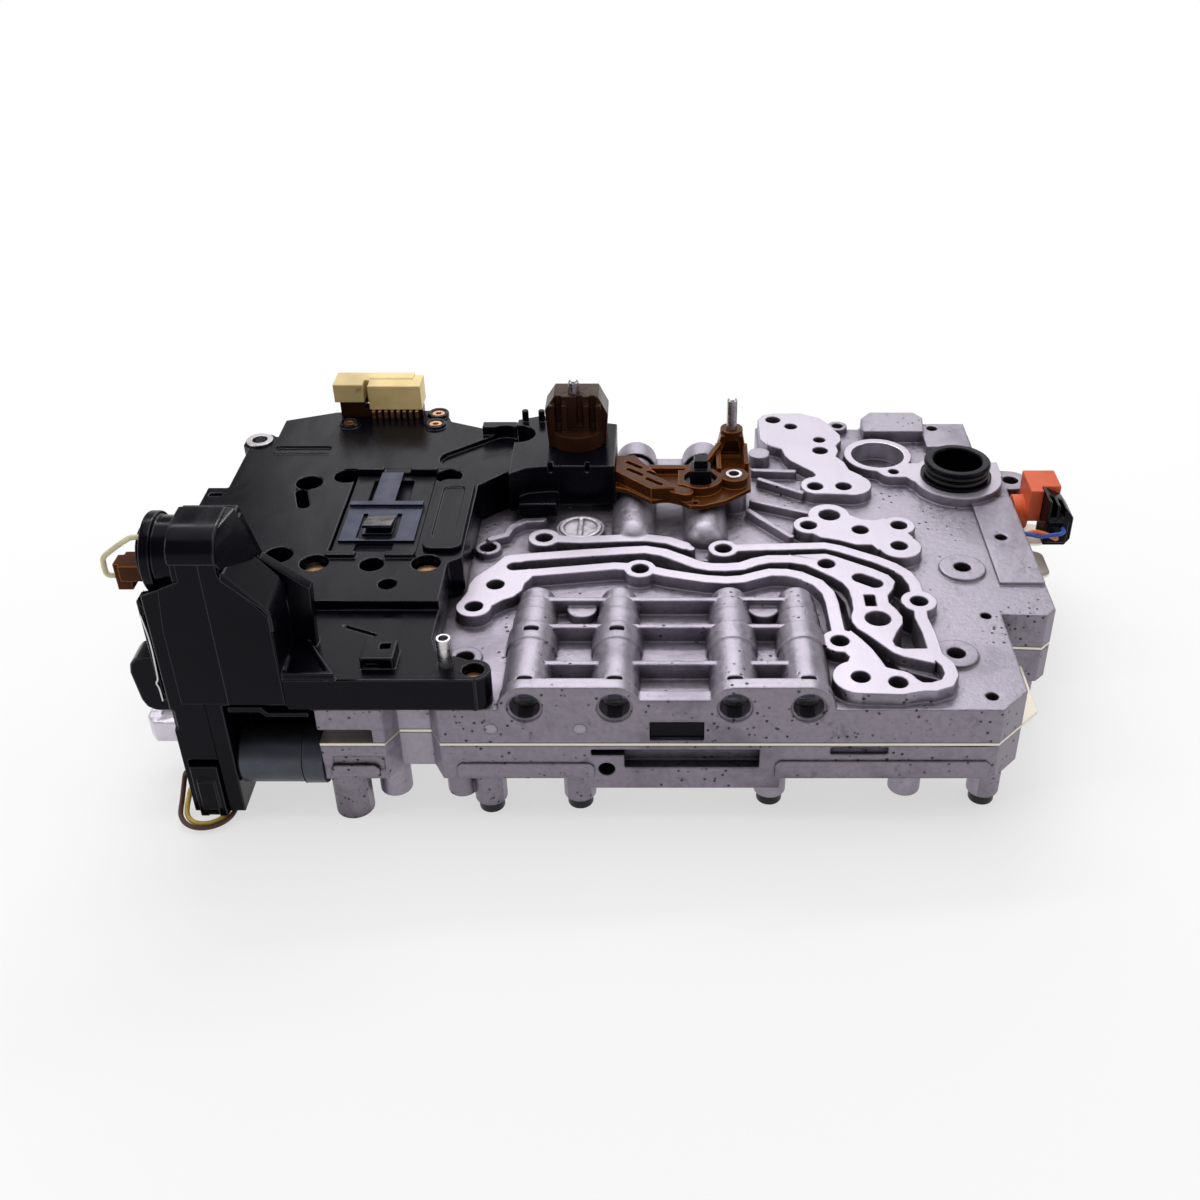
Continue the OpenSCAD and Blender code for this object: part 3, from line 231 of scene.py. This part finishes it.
def plastic_look(name, colour, rough=0.32, grain=0.2, dust=0.25, clear=0.0, ior=1.3,
                 tint=(1.0, 1.0, 1.0)):
    """Moulded plastic: faint flow clouds, fine spark grain, dust in patches."""
    look = Look(name)
    cloud = look.noise(30, 3, 0.6)
    fine = look.noise(1500, 2, 0.6)
    smear = look.noise(70, 5, 0.65, look.stretch(1.0, 0.35, 1.0), 0.6)
    base = look.mix(look.span(cloud, 0.3, 0.72), [c * 0.75 for c in colour], [min(1.0, c * 1.2) for c in colour])
    veil = look.calc("MULTIPLY", look.span(smear, 0.55, 0.8), dust)
    base = look.mix(veil, base, [min(1.0, c * 1.6 + 0.012) for c in colour])
    look.bump(look.calc("ADD", fine, look.calc("MULTIPLY", cloud, 0.6)), grain, 0.00012, 0.0004)
    look.set(Base_Color=base, Roughness=look.span(smear, 0.3, 0.8, rough - 0.07, rough + 0.14), IOR=ior,
             Specular_Tint=(*tint, 1.0))
    if clear:
        look.set(Subsurface_Weight=clear, Subsurface_Radius=(0.004, 0.0016, 0.0006), Subsurface_Scale=1.0)
    return look.mat


def rubber_look(name, colour, rough=0.5):
    """Soft insulation or a seal: slightly uneven, with a dull sheen."""
    look = Look(name)
    cloud = look.noise(200, 3, 0.6)
    base = look.mix(look.span(cloud, 0.3, 0.7), [c * 0.8 for c in colour], [min(1.0, c * 1.1) for c in colour])
    look.bump(look.noise(1200, 2), 0.12, 0.0001)
    look.set(Base_Color=base, Roughness=look.span(cloud, 0.3, 0.7, rough - 0.08, rough + 0.1))
    return look.mat


CAST = cast_look("cast_alloy", (0.27, 0.243, 0.294), (0.45, 0.41, 0.485), (0.145, 0.126, 0.165), 0.55)
# a darker copy of the cast alloy, with more pores, for faces turned to the front and the right: painted shade
CAST_SHADED_FRONT = cast_look("cast_front_painted_shade", (0.17, 0.148, 0.185), (0.33, 0.295, 0.35), (0.085, 0.072, 0.092), 1.1)
CAST_EDGE = cast_look("cast_edge", (0.6, 0.56, 0.63), (0.8, 0.76, 0.84), (0.42, 0.38, 0.45), 0.2, 0.85, 0.38)
# a much darker copy of the cast alloy for the floors of deep pockets: painted shade
CAST_SHADED_DEEP = cast_look("cast_deep_painted_shade", (0.1, 0.09, 0.11), (0.2, 0.185, 0.22), (0.05, 0.044, 0.055), 0.7)
LAND = machined_look("milled_land", (0.52, 0.478, 0.552), 0.0011, 0.46)
BORE = machined_look("bored_wall", (0.72, 0.68, 0.75), 0.0006, 0.22)
PLATE = machined_look("separator_sheet", (0.78, 0.72, 0.62), 0.002, 0.4)
STEEL = steel_look("ground_steel", (0.68, 0.65, 0.67))
DARK_STEEL = steel_look("black_oxide", (0.02, 0.019, 0.022), 0.36, 0.5)
SPRING = steel_look("spring_steel", (0.4, 0.39, 0.42))
CLIP = steel_look("clip_steel", (0.045, 0.047, 0.076), 0.28, 0.9)
COPPER = steel_look("coppered", (0.58, 0.34, 0.19), 0.3)
CAN = steel_look("solenoid_can", (0.075, 0.08, 0.1), 0.36, 0.75)
BLACK = plastic_look("black_moulding", (0.0022, 0.0021, 0.0042), 0.22, 0.1, 0.06, ior=1.2,
                     tint=(0.92, 0.87, 1.0))
# a lighter, glossier copy of the black moulding for the rounded edges: painted highlight
BLACK_LIT_EDGE = plastic_look("black_moulding_edge_painted_highlight", (0.0026, 0.0025, 0.0048), 0.15, 0.06, 0.06, ior=1.38,
                          tint=(0.95, 0.92, 1.0))
MODULE = plastic_look("module_case", (0.006, 0.006, 0.01), 0.36, 0.15, 0.15, ior=1.24)
BROWN = plastic_look("brown_moulding", (0.034, 0.011, 0.0045), 0.28, 0.1, 0.05, 0.1, 1.22)
AMBER = plastic_look("amber_moulding", (0.07, 0.02, 0.005), 0.26, 0.12, 0.04, 0.2, 1.2, (1.0, 0.82, 0.68))
# a much brighter copy of the amber moulding for the rounded edges: painted highlight
AMBER_LIT_EDGE = plastic_look("amber_edge_painted_highlight", (0.26, 0.085, 0.017), 0.24, 0.1, 0.04, 0.3, 1.26, (1.0, 0.86, 0.74))
CREAM = plastic_look("cream_moulding", (0.7, 0.54, 0.25), 0.38, clear=0.15, ior=1.4)
ORANGE = plastic_look("orange_moulding", (0.6, 0.1, 0.035), 0.36, 0.15, 0.12, ior=1.36)
SHELL, AMBER_SHELL = [BLACK, BLACK_LIT_EDGE], [AMBER, AMBER_LIT_EDGE]
SEAL = rubber_look("seal_rubber", (0.012, 0.012, 0.012))
LEADS = {
    "contact_lead": rubber_look("lead_white_cover", (0.72, 0.66, 0.42)),
    "lead_yellow": rubber_look("lead_yellow_cover", (0.66, 0.46, 0.09)),
    "lead_brown": rubber_look("lead_brown_cover", (0.09, 0.03, 0.02)),
    "lead_blue": rubber_look("lead_blue_cover", (0.025, 0.08, 0.42)),
    "lead_orange": rubber_look("lead_orange_cover", (0.72, 0.16, 0.035)),
}


# Dressing the solids
def weigh(bm, angle, sharp=None):
    """Marks the edges to break; those in the sharp column of x, y, radius and top stay as they are."""
    layer = bm.edges.layers.float.new("bevel_weight_edge")
    for edge in bm.edges:
        if len(edge.link_faces) != 2 or edge.calc_face_angle(0.0) < math.radians(angle):
            continue
        if sharp:
            mid = (edge.verts[0].co + edge.verts[1].co) * 500 - SHIFT
            if mid.z < sharp[3] and math.hypot(mid.x - sharp[0], mid.y - sharp[1]) < sharp[2]:
                edge.smooth = False
                continue
        edge[layer] = 1.0


def joined(data, planes, cell, angle, sharp):
    """A welded copy of a mesh, flat faces joined within cells, but not where the planes say."""
    bm = bmesh.new()
    bm.from_mesh(data)
    bmesh.ops.remove_doubles(bm, verts=bm.verts, dist=WELD)
    bmesh.ops.dissolve_degenerate(bm, edges=bm.edges, dist=WELD)
    bmesh.ops.dissolve_limit(bm, angle_limit=math.radians(0.3), verts=bm.verts, edges=bm.edges,
                             use_dissolve_boundaries=False)
    for axis in (0, 1):
        spread = [v.co[axis] for v in bm.verts]
        cut = min(spread) + cell * FIRST_CUT * MM
        while cut < max(spread):
            way = Vector((1 - axis, axis, 0))
            bmesh.ops.bisect_plane(bm, geom=bm.verts[:] + bm.edges[:] + bm.faces[:], dist=1e-6, plane_co=way * cut,
                                   plane_no=way)
            cut += cell * MM
    bad = [f for f in bm.faces if len(f.verts) > 4 and any(
        f.normal.dot(n) > 0.999 and (f.calc_center_bounds() - c).length < 0.0015 for n, c in planes)]
    bmesh.ops.triangulate(bm, faces=bad)
    for face in bm.faces:
        face.material_index = 0
        face.smooth = True
    weigh(bm, angle, sharp)
    mesh = bpy.data.meshes.new("joined")
    bm.to_mesh(mesh)
    bm.free()
    return mesh


def folded(mesh):
    """Directions and middles of the flat faces that a bevel has pushed over themselves."""
    mesh.calc_loop_triangles()
    spread = {}
    for tri in mesh.loop_triangles:
        spread[tri.polygon_index] = spread.get(tri.polygon_index, 0.0) + tri.area
    found = []
    for f in mesh.polygons:
        if len(f.vertices) > 4 and spread[f.index] > f.area * 1.003:
            pts = [mesh.vertices[i].co for i in f.vertices]
            low = Vector([min(p[k] for p in pts) for k in range(3)])
            high = Vector([max(p[k] for p in pts) for k in range(3)])
            found.append((f.normal.copy(), (low + high) / 2))
    return found


def soften(piece, width, segments, edge_slot):
    """Broken edges and even shading."""
    if width:
        mod = piece.modifiers.new("edges", "BEVEL")
        mod.width = width * MM
        mod.segments = segments
        mod.limit_method = "WEIGHT"
        mod.use_clamp_overlap = False
        mod.miter_outer = "MITER_ARC"
        mod.material = edge_slot
    normals = piece.modifiers.new("normals", "WEIGHTED_NORMAL")
    normals.weight = 100
    normals.keep_sharp = True
    bake(piece)


def dress(node, mats, width=0.3, segments=2, angle=32.0, edge_slot=-1, pick=None, cell=1000.0,
          sharp=None):
    """A copy of a node with broken edges and its own materials, in the node's place."""
    source = NODES[node]
    piece = bpy.data.objects.new(node + "_look", bpy.data.meshes.new(node + "_look"))
    bpy.context.scene.collection.objects.link(piece)
    planes = []
    for _ in range(3):
        piece.data = joined(source.data, planes, cell, angle, sharp)
        for mat in mats:
            piece.data.materials.append(mat)
        soften(piece, width, segments, edge_slot)
        more = folded(piece.data)
        if not more:
            break
        planes += more
    skin = BVHTree.FromPolygons([v.co for v in source.data.vertices], [tuple(f.vertices) for f in source.data.polygons])
    for point in piece.data.vertices:
        place, _, _, away = skin.find_nearest(point.co)
        if away > STRAY:
            point.co = place
    if pick:
        for face in piece.data.polygons:
            slot = pick(face.normal, face.center * 1000 - SHIFT, face.area * 1e6)
            if slot is not None:
                face.material_index = slot
    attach(piece, source["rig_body"])
    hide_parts(node)
    return piece


def bake(piece):
    """Applies a piece's modifiers to its mesh."""
    bpy.context.view_layer.update()
    graph = bpy.context.evaluated_depsgraph_get()
    mesh = bpy.data.meshes.new_from_object(piece.evaluated_get(graph))
    piece.modifiers.clear()
    old = piece.data
    piece.data = mesh
    bpy.data.meshes.remove(old)


SLOTS = {s["node"]: s["material_slot"] for s in frame["record"]["subparts"]}


# Material slots of the upper and the lower casting, in the order of their lists below
U_CAST, U_LAND, U_BORE, U_SHADED_FRONT, U_SHADED_DEEP, _, U_SHADED_RECESS = range(7)
_, L_SHADED_FRONT, L_SHADED_DEEP = range(3)


def pick_upper(n, c, area):
    if n.z > 0.98 and (abs(c.z - LAND_Z) < 0.1 or (abs(c.z - LAND_Z + 0.5) < 0.1 and c.x > 60)):
        return U_LAND
    if math.hypot(c.x - 93, c.y - 172.5) < 11.6 and c.z > 12.5:
        return U_BORE
    # small faces round the mouths of the front bores take the front's painted shade too
    if c.y < 2.4 and area < 15 and any(math.hypot(c.x - x, c.z - FRONT_BORE_Z) < 6.3 for x in FRONT_X):
        return U_SHADED_FRONT
    if c.y < 1.6 and area < 18 and any(math.hypot(c.x - x, c.z - 7.5) < 2.4 for x in (-60, -29.5)):
        return U_CAST
    # floors sunk well below the casting's floor: painted shade
    if c.z < FLOOR_Z - 3.5 and n.z > 0.9:
        return U_SHADED_DEEP
    # faces in the shallow recess on the front get the black moulding as painted shade
    if 0.6 < c.y < 2.2 and -5.6 < c.x < 13.1 and 2.4 < c.z < 10.6:
        return U_SHADED_RECESS
    # faces turned to the front, and the low side faces of the right wall, take the front's painted shade
    if (c.y < 3 and n.y < -0.5) or (c.x > 112 and c.z < FLOOR_Z and abs(n.z) < 0.5):
        return U_SHADED_FRONT
    return None


def pick_lower(n, c, area):
    # faces in the pocket on the lower front: painted shade
    if 0.8 < c.y < 9.2 and -27 < c.x < 33 and -13.8 < c.z < -1.7:
        return L_SHADED_DEEP
    # faces turned to the front, and the side faces of the right wall, take the front's painted shade
    return L_SHADED_FRONT if (n.y < -0.5 and c.y < 6) or (c.x > 112 and abs(n.z) < 0.5) else None


dress("upper_housing", [CAST, LAND, BORE, CAST_SHADED_FRONT, CAST_SHADED_DEEP, CAST_EDGE, BLACK], 0.35,
      pick=pick_upper, cell=18)
dress("lower_housing", [CAST, CAST_SHADED_FRONT, CAST_SHADED_DEEP], 0.4, pick=pick_lower, cell=24,
      sharp=(-112.5, 7.3, 9.5, -14))
dress("separator_plate", [PLATE], 0.15)
dress("housing_bolts", [DARK_STEEL], 0.4)
for name in ("spool_1", "spool_2", "spool_3", "spool_4", "rear_spool_1", "rear_spool_2", "check_balls",
             "carrier_bush", "guide_pin", "tower_pin", "bracket_pin", "bracket_bush"):
    dress(name, [STEEL], 0.2)
dress("valve_plugs", [SPRING], 0.2)
dress("rear_plugs", [SPRING], 0.2)
dress("retaining_keys", [CLIP], 0.2)
for i, x in enumerate(FRONT_X):
    coil = dress("spring_%d" % (i + 1), [SPRING], 0)
    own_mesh(coil)
for i, x in enumerate(REAR_X):
    coil = dress("rear_spring_%d" % (i + 1), [SPRING], 0)
    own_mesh(coil)
dress("selector_valve", [CAST_EDGE], 0.5, sharp=(-172, 32, 6.5, 100))
dress("screw_plug", [CAST_EDGE], 0.25)
dress("oil_spigot", [BLACK], 0.2)
dress("spigot_seals", [SEAL], 0)
dress("carrier", SHELL, 0.55, 3, edge_slot=1, cell=18)
dress("carrier_base", [BLACK], 0.3)
dress("control_module", [MODULE], 0.4)
# on the clip's tongue, faces sloping up towards the back take the lighter spring steel as a painted highlight
dress("spring_clip", [CLIP, SPRING], 0.2,
      pick=lambda n, c, area: 1 if 86 < c.y < 99 and -116.6 < c.x < -105.2 and abs(n.x) < 0.5 and n.y > 0.1 else None)
dress("carrier_cover", SHELL, 0.4, edge_slot=1)
dress("carrier_screws", [COPPER], 0.3)
dress("sensor_box", SHELL, 0.5, edge_slot=1)
dress("sensor_tower", [BROWN], 0.4)
dress("sensor_bracket", AMBER_SHELL, 0.3, edge_slot=1, cell=9)
dress("hall_sensor", SHELL, 0.4, edge_slot=1)
dress("plug_connector", [CREAM], 0.4)
dress("pin_holder", [BROWN], 0.3)
dress("connector_pins", [COPPER], 0.2)
dress("connector_screws", [COPPER], 0.2)
dress("round_solenoid", SHELL, 0.5, edge_slot=1)
dress("contact_block", AMBER_SHELL, 0.3, edge_slot=1)
dress("lower_solenoid", [CAN], 0.5)
dress("lower_plug", SHELL, 0.4, edge_slot=1)
dress("side_solenoid", [ORANGE], 0.5)
dress("side_plug", SHELL, 0.4, edge_slot=1)


# Details of the mouldings and castings
def detail(name, bm, mats, slot, width=0.0):
    """A piece of the looks alone, riding on the frame."""
    bmesh.ops.recalc_face_normals(bm, faces=bm.faces)
    for face in bm.faces:
        face.smooth = True
    weigh(bm, 28.0)
    mesh = bpy.data.meshes.new(name)
    bm.to_mesh(mesh)
    bm.free()
    for mat in mats:
        mesh.materials.append(mat)
    piece = bpy.data.objects.new(name, mesh)
    bpy.context.scene.collection.objects.link(piece)
    soften(piece, width, 3, len(mats) - 1)
    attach(piece, "frame")
    return piece


def prism(outline, low, high, place):
    """A flat outline run from low to high; place turns its numbers into a point."""
    bm = bmesh.new()
    rings = [[bm.verts.new(place(a, b, t)) for a, b in outline] for t in (low, high)]
    bm.faces.new(rings[0])
    bm.faces.new(rings[1])
    for i in range(len(outline)):
        j = (i + 1) % len(outline)
        bm.faces.new((rings[0][i], rings[0][j], rings[1][j], rings[1][i]))
    return bm


def hull(points):
    """The smallest closed shape around points of the separator's frame."""
    bm = bmesh.new()
    for p in points:
        bm.verts.new(at(*p))
    bmesh.ops.convex_hull(bm, input=bm.verts)
    return bm


def across_x(y, z, x):
    return at(x, y, z)


def across_y(x, z, y):
    return at(x, y, z)


def smooth_path(points, steps=6):
    """Points on a smooth curve through the given ones."""
    pts = [Vector(p) for p in points]
    n = len(pts)
    out = []
    for i in range(n - 1):
        p0, p1, p2, p3 = pts[max(i - 1, 0)], pts[i], pts[i + 1], pts[min(i + 2, n - 1)]
        for k in range(steps):
            t = k / steps
            out.append(0.5 * (2 * p1 + (p2 - p0) * t + (2 * p0 - 5 * p1 + 4 * p2 - p3) * t * t
                              + (3 * p1 - p0 - 3 * p2 + p3) * t ** 3))
    return out + [pts[-1]]


def tube(path, radius, sides=14):
    """A round bar along points in millimetres of the separator's frame."""
    bm = bmesh.new()
    n = len(path)
    side = None
    rings = []
    for i, p in enumerate(path):
        before, after = path[max(i - 1, 0)], path[min(i + 1, n - 1)]
        run = (after - before).normalized()
        if side is None:
            side = run.orthogonal().normalized()
        side = (side - run * side.dot(run)).normalized()
        up = run.cross(side)
        rings.append([bm.verts.new(at(*(p + (side * math.cos(2 * math.pi * k / sides)
                                            + up * math.sin(2 * math.pi * k / sides)) * radius)))
                      for k in range(sides)])
    for a, b in zip(rings, rings[1:]):
        for k in range(sides):
            m = (k + 1) % sides
            bm.faces.new((a[k], a[m], b[m], b[k]))
    bm.faces.new(rings[0])
    bm.faces.new(rings[-1])
    return bm


def lead(node, points):
    """A lead as one smooth round cable in its node's place."""
    path = smooth_path(points)
    piece = detail(node + "_look", tube(path, 0.9), [LEADS[node]], SLOTS[node])
    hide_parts(node)
    return piece, [at(*p) for p in path]


def loop(radius, top, back, rise):
    """Points of a lead that hangs in a bow under the lower plug."""
    x, y, z = -164.5, 3.0, -31.9
    bow = [(x + radius * math.cos(math.pi * k / 8), y - radius * math.sin(math.pi * k / 8),
            z + 1.6 * (max(0, k - 5) / 3) ** 2) for k in range(9)]
    return [(x + radius, y, top)] + bow + [(x - radius, y + 1.6, z + 2.4), (x - radius, back - 0.8, rise - 2.4),
                                           (x - radius + 0.5, back, rise - 0.7), (x - radius + 1.6, back, rise),
                                           (-168, back, rise)]


for node, points in (("lead_yellow", loop(7.4, -31.0, 8, -26)), ("lead_brown", loop(9.6, -30.0, 12, -22))):
    piece, path = lead(node, points)
lead("contact_lead", [(-166.5, 8, 80.2), (-168.5, 8, 80.2), (-171, 8, 79.4), (-177, 8.7, 75), (-180.4, 9, 72),
                      (-181, 9, 69.5), (-181, 9, 66.4), (-180.2, 9, 65.2), (-178, 9, 65)])
lead("lead_blue", [(162.6, 119.6, 15), (162.6, 117.6, 15), (161.6, 116, 14.8), (159, 115.6, 14.4), (153, 115.6, 13.6),
                   (149, 115.6, 14.4), (146, 115.5, 15)])
lead("lead_orange", [(160.4, 119.6, 11), (160.4, 118, 11.2), (159.2, 116.7, 12), (155, 116.2, 14.4), (150, 116.6, 15.2),
                     (146, 116.5, 13)])

# hood of the round socket, and the skins, guard and wire of the upright
detail("socket_hood", prism([(-1.4, 75.2), (-1.4, 78), (-0.5, 80.4), (1.5, 82.6), (4.6, 84.3), (8.4, 85.1), (14, 85.3),
                             (18.9, 85.3), (18.9, 75.2)], -156.8, -141.2, across_x), SHELL, "black", 0.7)
detail("hood_side", hull([(-141.8, -0.6, 75.4), (-141.8, -0.2, 80), (-141.8, 2, 82.3), (-141.8, 5, 84),
                          (-141.8, 18.9, 85), (-141.8, 1, 71), (-140.2, 1, 71), (-138.8, 18.9, 84.4),
                          (-137.6, 9.8, 80.6), (-137.6, 9.8, 71), (-133.4, 18.9, 66.5)]), SHELL, "black", 0.5)
detail("upright_face", prism([(-163.4, 19), (-163.4, 50), (-161.8, 65.6), (-154.8, 68.6), (-154.8, 76), (-147.3, 76),
                              (-147.3, 19)], -0.4, 0.8, across_y), SHELL, "black", 0.3)
detail("side_guard", prism([(-167.5, 10.6), (-175.5, 10.6), (-178.4, 12.2), (-179.8, 15.5), (-181.2, 27),
                            (-180.6, 30.6), (-178.4, 33), (-175, 34), (-167.5, 34)], 6.6, 17.4, across_y),
       SHELL, "black", 0.8)
detail("upright_chute", prism([(-141.4, 69.5), (-140.6, 72.4), (-139.6, 72.3), (-128.6, 59.6), (-127.2, 57.2),
                               (-126.8, 54.2), (-126.9, 49.5), (-128.3, 49.5), (-128.3, 56), (-129.8, 58.4)],
                              -1.2, 17.8, across_y), SHELL, "black", 0.6)
detail("upright_panel", prism([(-147.5, 19), (-128.2, 19), (-128.2, 55), (-129.9, 57.6), (-141.6, 71), (-141.6, 76),
                               (-147.5, 76)], -0.7, 0.6, across_y), SHELL, "black", 0.35)
detail("upright_lip", prism([(-147.8, 16.2), (-147.8, 18.2), (-136.5, 18.2), (-134.5, 15.8), (-121, 15.8), (-121, 14.2),
                             (-135.4, 14.2), (-137.4, 16.2)], -1.2, 0.4, across_y), SHELL, "black", 0.35)
detail("side_wire", tube(smooth_path([(-170.6, 2.7, 54), (-169.9, 2.7, 47), (-169.7, 2.7, 40), (-170.1, 2.7, 30),
                                      (-170.4, 2.7, 27.4), (-171.1, 2.7, 25.8), (-170.6, 2.7, 23.5),
                                      (-170.5, 2.7, 18.2)]), 0.4, 10), [STEEL], "steel")
# rough rails cast on the lower front face, in the darker front copy of the cast alloy as painted shade
for k, (x0, x1, z0, z1) in enumerate(((-117, -100, -13.8, -8.6), (-73, -25, -13.8, -7.6), (38, 113, -13.8, -6.6))):
    detail("front_rail_%d" % (k + 1),
           prism([(x0, z0), (x1, z0), (x1, z1 - 1.6), (x1 - 1.6, z1), (x0 + 1.6, z1), (x0, z1 - 1.6)], -0.25, 0.9,
                 across_y), [CAST_SHADED_FRONT], "cast", 0.3)


# Stage, light and camera
def floor():
    mesh = bpy.data.meshes.new("floor")
    size = 4.0
    mesh.from_pydata([(-size, -size, -0.0002), (size, -size, -0.0002), (size, size, -0.0002), (-size, size, -0.0002)],
                     [], [(0, 1, 2, 3)])
    obj = bpy.data.objects.new("floor", mesh)
    bpy.context.scene.collection.objects.link(obj)
    mat = bpy.data.materials.new("floor_white")
    mat.use_nodes = True
    tree = mat.node_tree
    out = tree.nodes["Material Output"]
    tree.nodes.remove(tree.nodes["Principled BSDF"])
    diffuse = tree.nodes.new("ShaderNodeBsdfDiffuse")
    diffuse.inputs["Color"].default_value = (0.9, 0.9, 0.9, 1)
    glow = tree.nodes.new("ShaderNodeEmission")
    path = tree.nodes.new("ShaderNodeLightPath")
    half = tree.nodes.new("ShaderNodeMath")
    half.operation = "MULTIPLY"
    seen = path.outputs["Is Camera Ray"]
    for ray in ("Is Glossy Ray", "Is Transmission Ray"):
        both = tree.nodes.new("ShaderNodeMath")
        both.operation = "MAXIMUM"
        tree.links.new(seen, both.inputs[0])
        tree.links.new(path.outputs[ray], both.inputs[1])
        seen = both.outputs[0]
    tree.links.new(seen, half.inputs[0])
    # away from the part the floor fades into the white background
    place = tree.nodes.new("ShaderNodeTexCoord")
    reach = tree.nodes.new("ShaderNodeVectorMath")
    reach.operation = "LENGTH"
    tree.links.new(place.outputs["Object"], reach.inputs[0])
    fade = tree.nodes.new("ShaderNodeMapRange")
    fade.interpolation_type = "SMOOTHSTEP"
    for key, value in (("From Min", 0.15), ("From Max", 0.5), ("To Min", 0.6), ("To Max", 1.0)):
        fade.inputs[key].default_value = value
    tree.links.new(reach.outputs["Value"], fade.inputs["Value"])
    tree.links.new(fade.outputs["Result"], half.inputs[1])
    mix = tree.nodes.new("ShaderNodeMixShader")
    tree.links.new(half.outputs[0], mix.inputs[0])
    tree.links.new(diffuse.outputs[0], mix.inputs[1])
    tree.links.new(glow.outputs[0], mix.inputs[2])
    tree.links.new(mix.outputs[0], out.inputs["Surface"])
    mesh.materials.append(mat)


def lamp(name, place, size, energy, height=None):
    """A soft lamp that faces the part."""
    data = bpy.data.lights.new(name, "AREA")
    data.energy = energy
    data.size = size
    if height:
        data.shape = "RECTANGLE"
        data.size_y = height
    obj = bpy.data.objects.new(name, data)
    obj.location = place
    obj.rotation_euler = (Vector(AIM) - Vector(place)).to_track_quat("-Z", "Y").to_euler()
    bpy.context.scene.collection.objects.link(obj)


def world():
    scene = bpy.context.scene
    scene.world = bpy.data.worlds.new("studio")
    scene.world.use_nodes = True
    tree = scene.world.node_tree
    back = tree.nodes["Background"]
    back.inputs["Color"].default_value = (1.0, 1.0, 1.0, 1)
    # white at the horizon, dim overhead
    place = tree.nodes.new("ShaderNodeTexCoord")
    split = tree.nodes.new("ShaderNodeSeparateXYZ")
    fade = tree.nodes.new("ShaderNodeMapRange")
    fade.interpolation_type = "SMOOTHSTEP"
    for key, value in (("From Min", 0.02), ("From Max", 0.4), ("To Min", 1.0), ("To Max", 0.22)):
        fade.inputs[key].default_value = value
    tree.links.new(place.outputs["Generated"], split.inputs[0])
    tree.links.new(split.outputs["Z"], fade.inputs["Value"])
    tree.links.new(fade.outputs["Result"], back.inputs["Strength"])
    scene.view_settings.view_transform = "Standard"


def camera():
    data = bpy.data.cameras.new("camera")
    data.sensor_width = 36.0
    data.lens = 41.4
    data.shift_x = -0.055
    data.clip_start = 0.01
    data.clip_end = 20
    obj = bpy.data.objects.new("camera", data)
    obj.location = at(0, -363.64, 311.46)
    obj.rotation_euler = (math.radians(55.5), 0, 0)
    bpy.context.scene.collection.objects.link(obj)
    bpy.context.scene.camera = obj


floor()
world()
lamp("over", (0.0, 0.1, 0.9), 0.95, 4.0, height=0.75)
lamp("left", (-0.8, -0.2, 0.6), 0.4, 1.3)
lamp("right", (0.8, -0.1, 0.6), 0.4, 1.0)
lamp("back", (0.0, 0.9, 0.64), 0.9, 2.4, height=0.5)
lamp("strip", (-0.1, 0.45, 0.7), 0.8, 2.2, height=0.07)
camera()
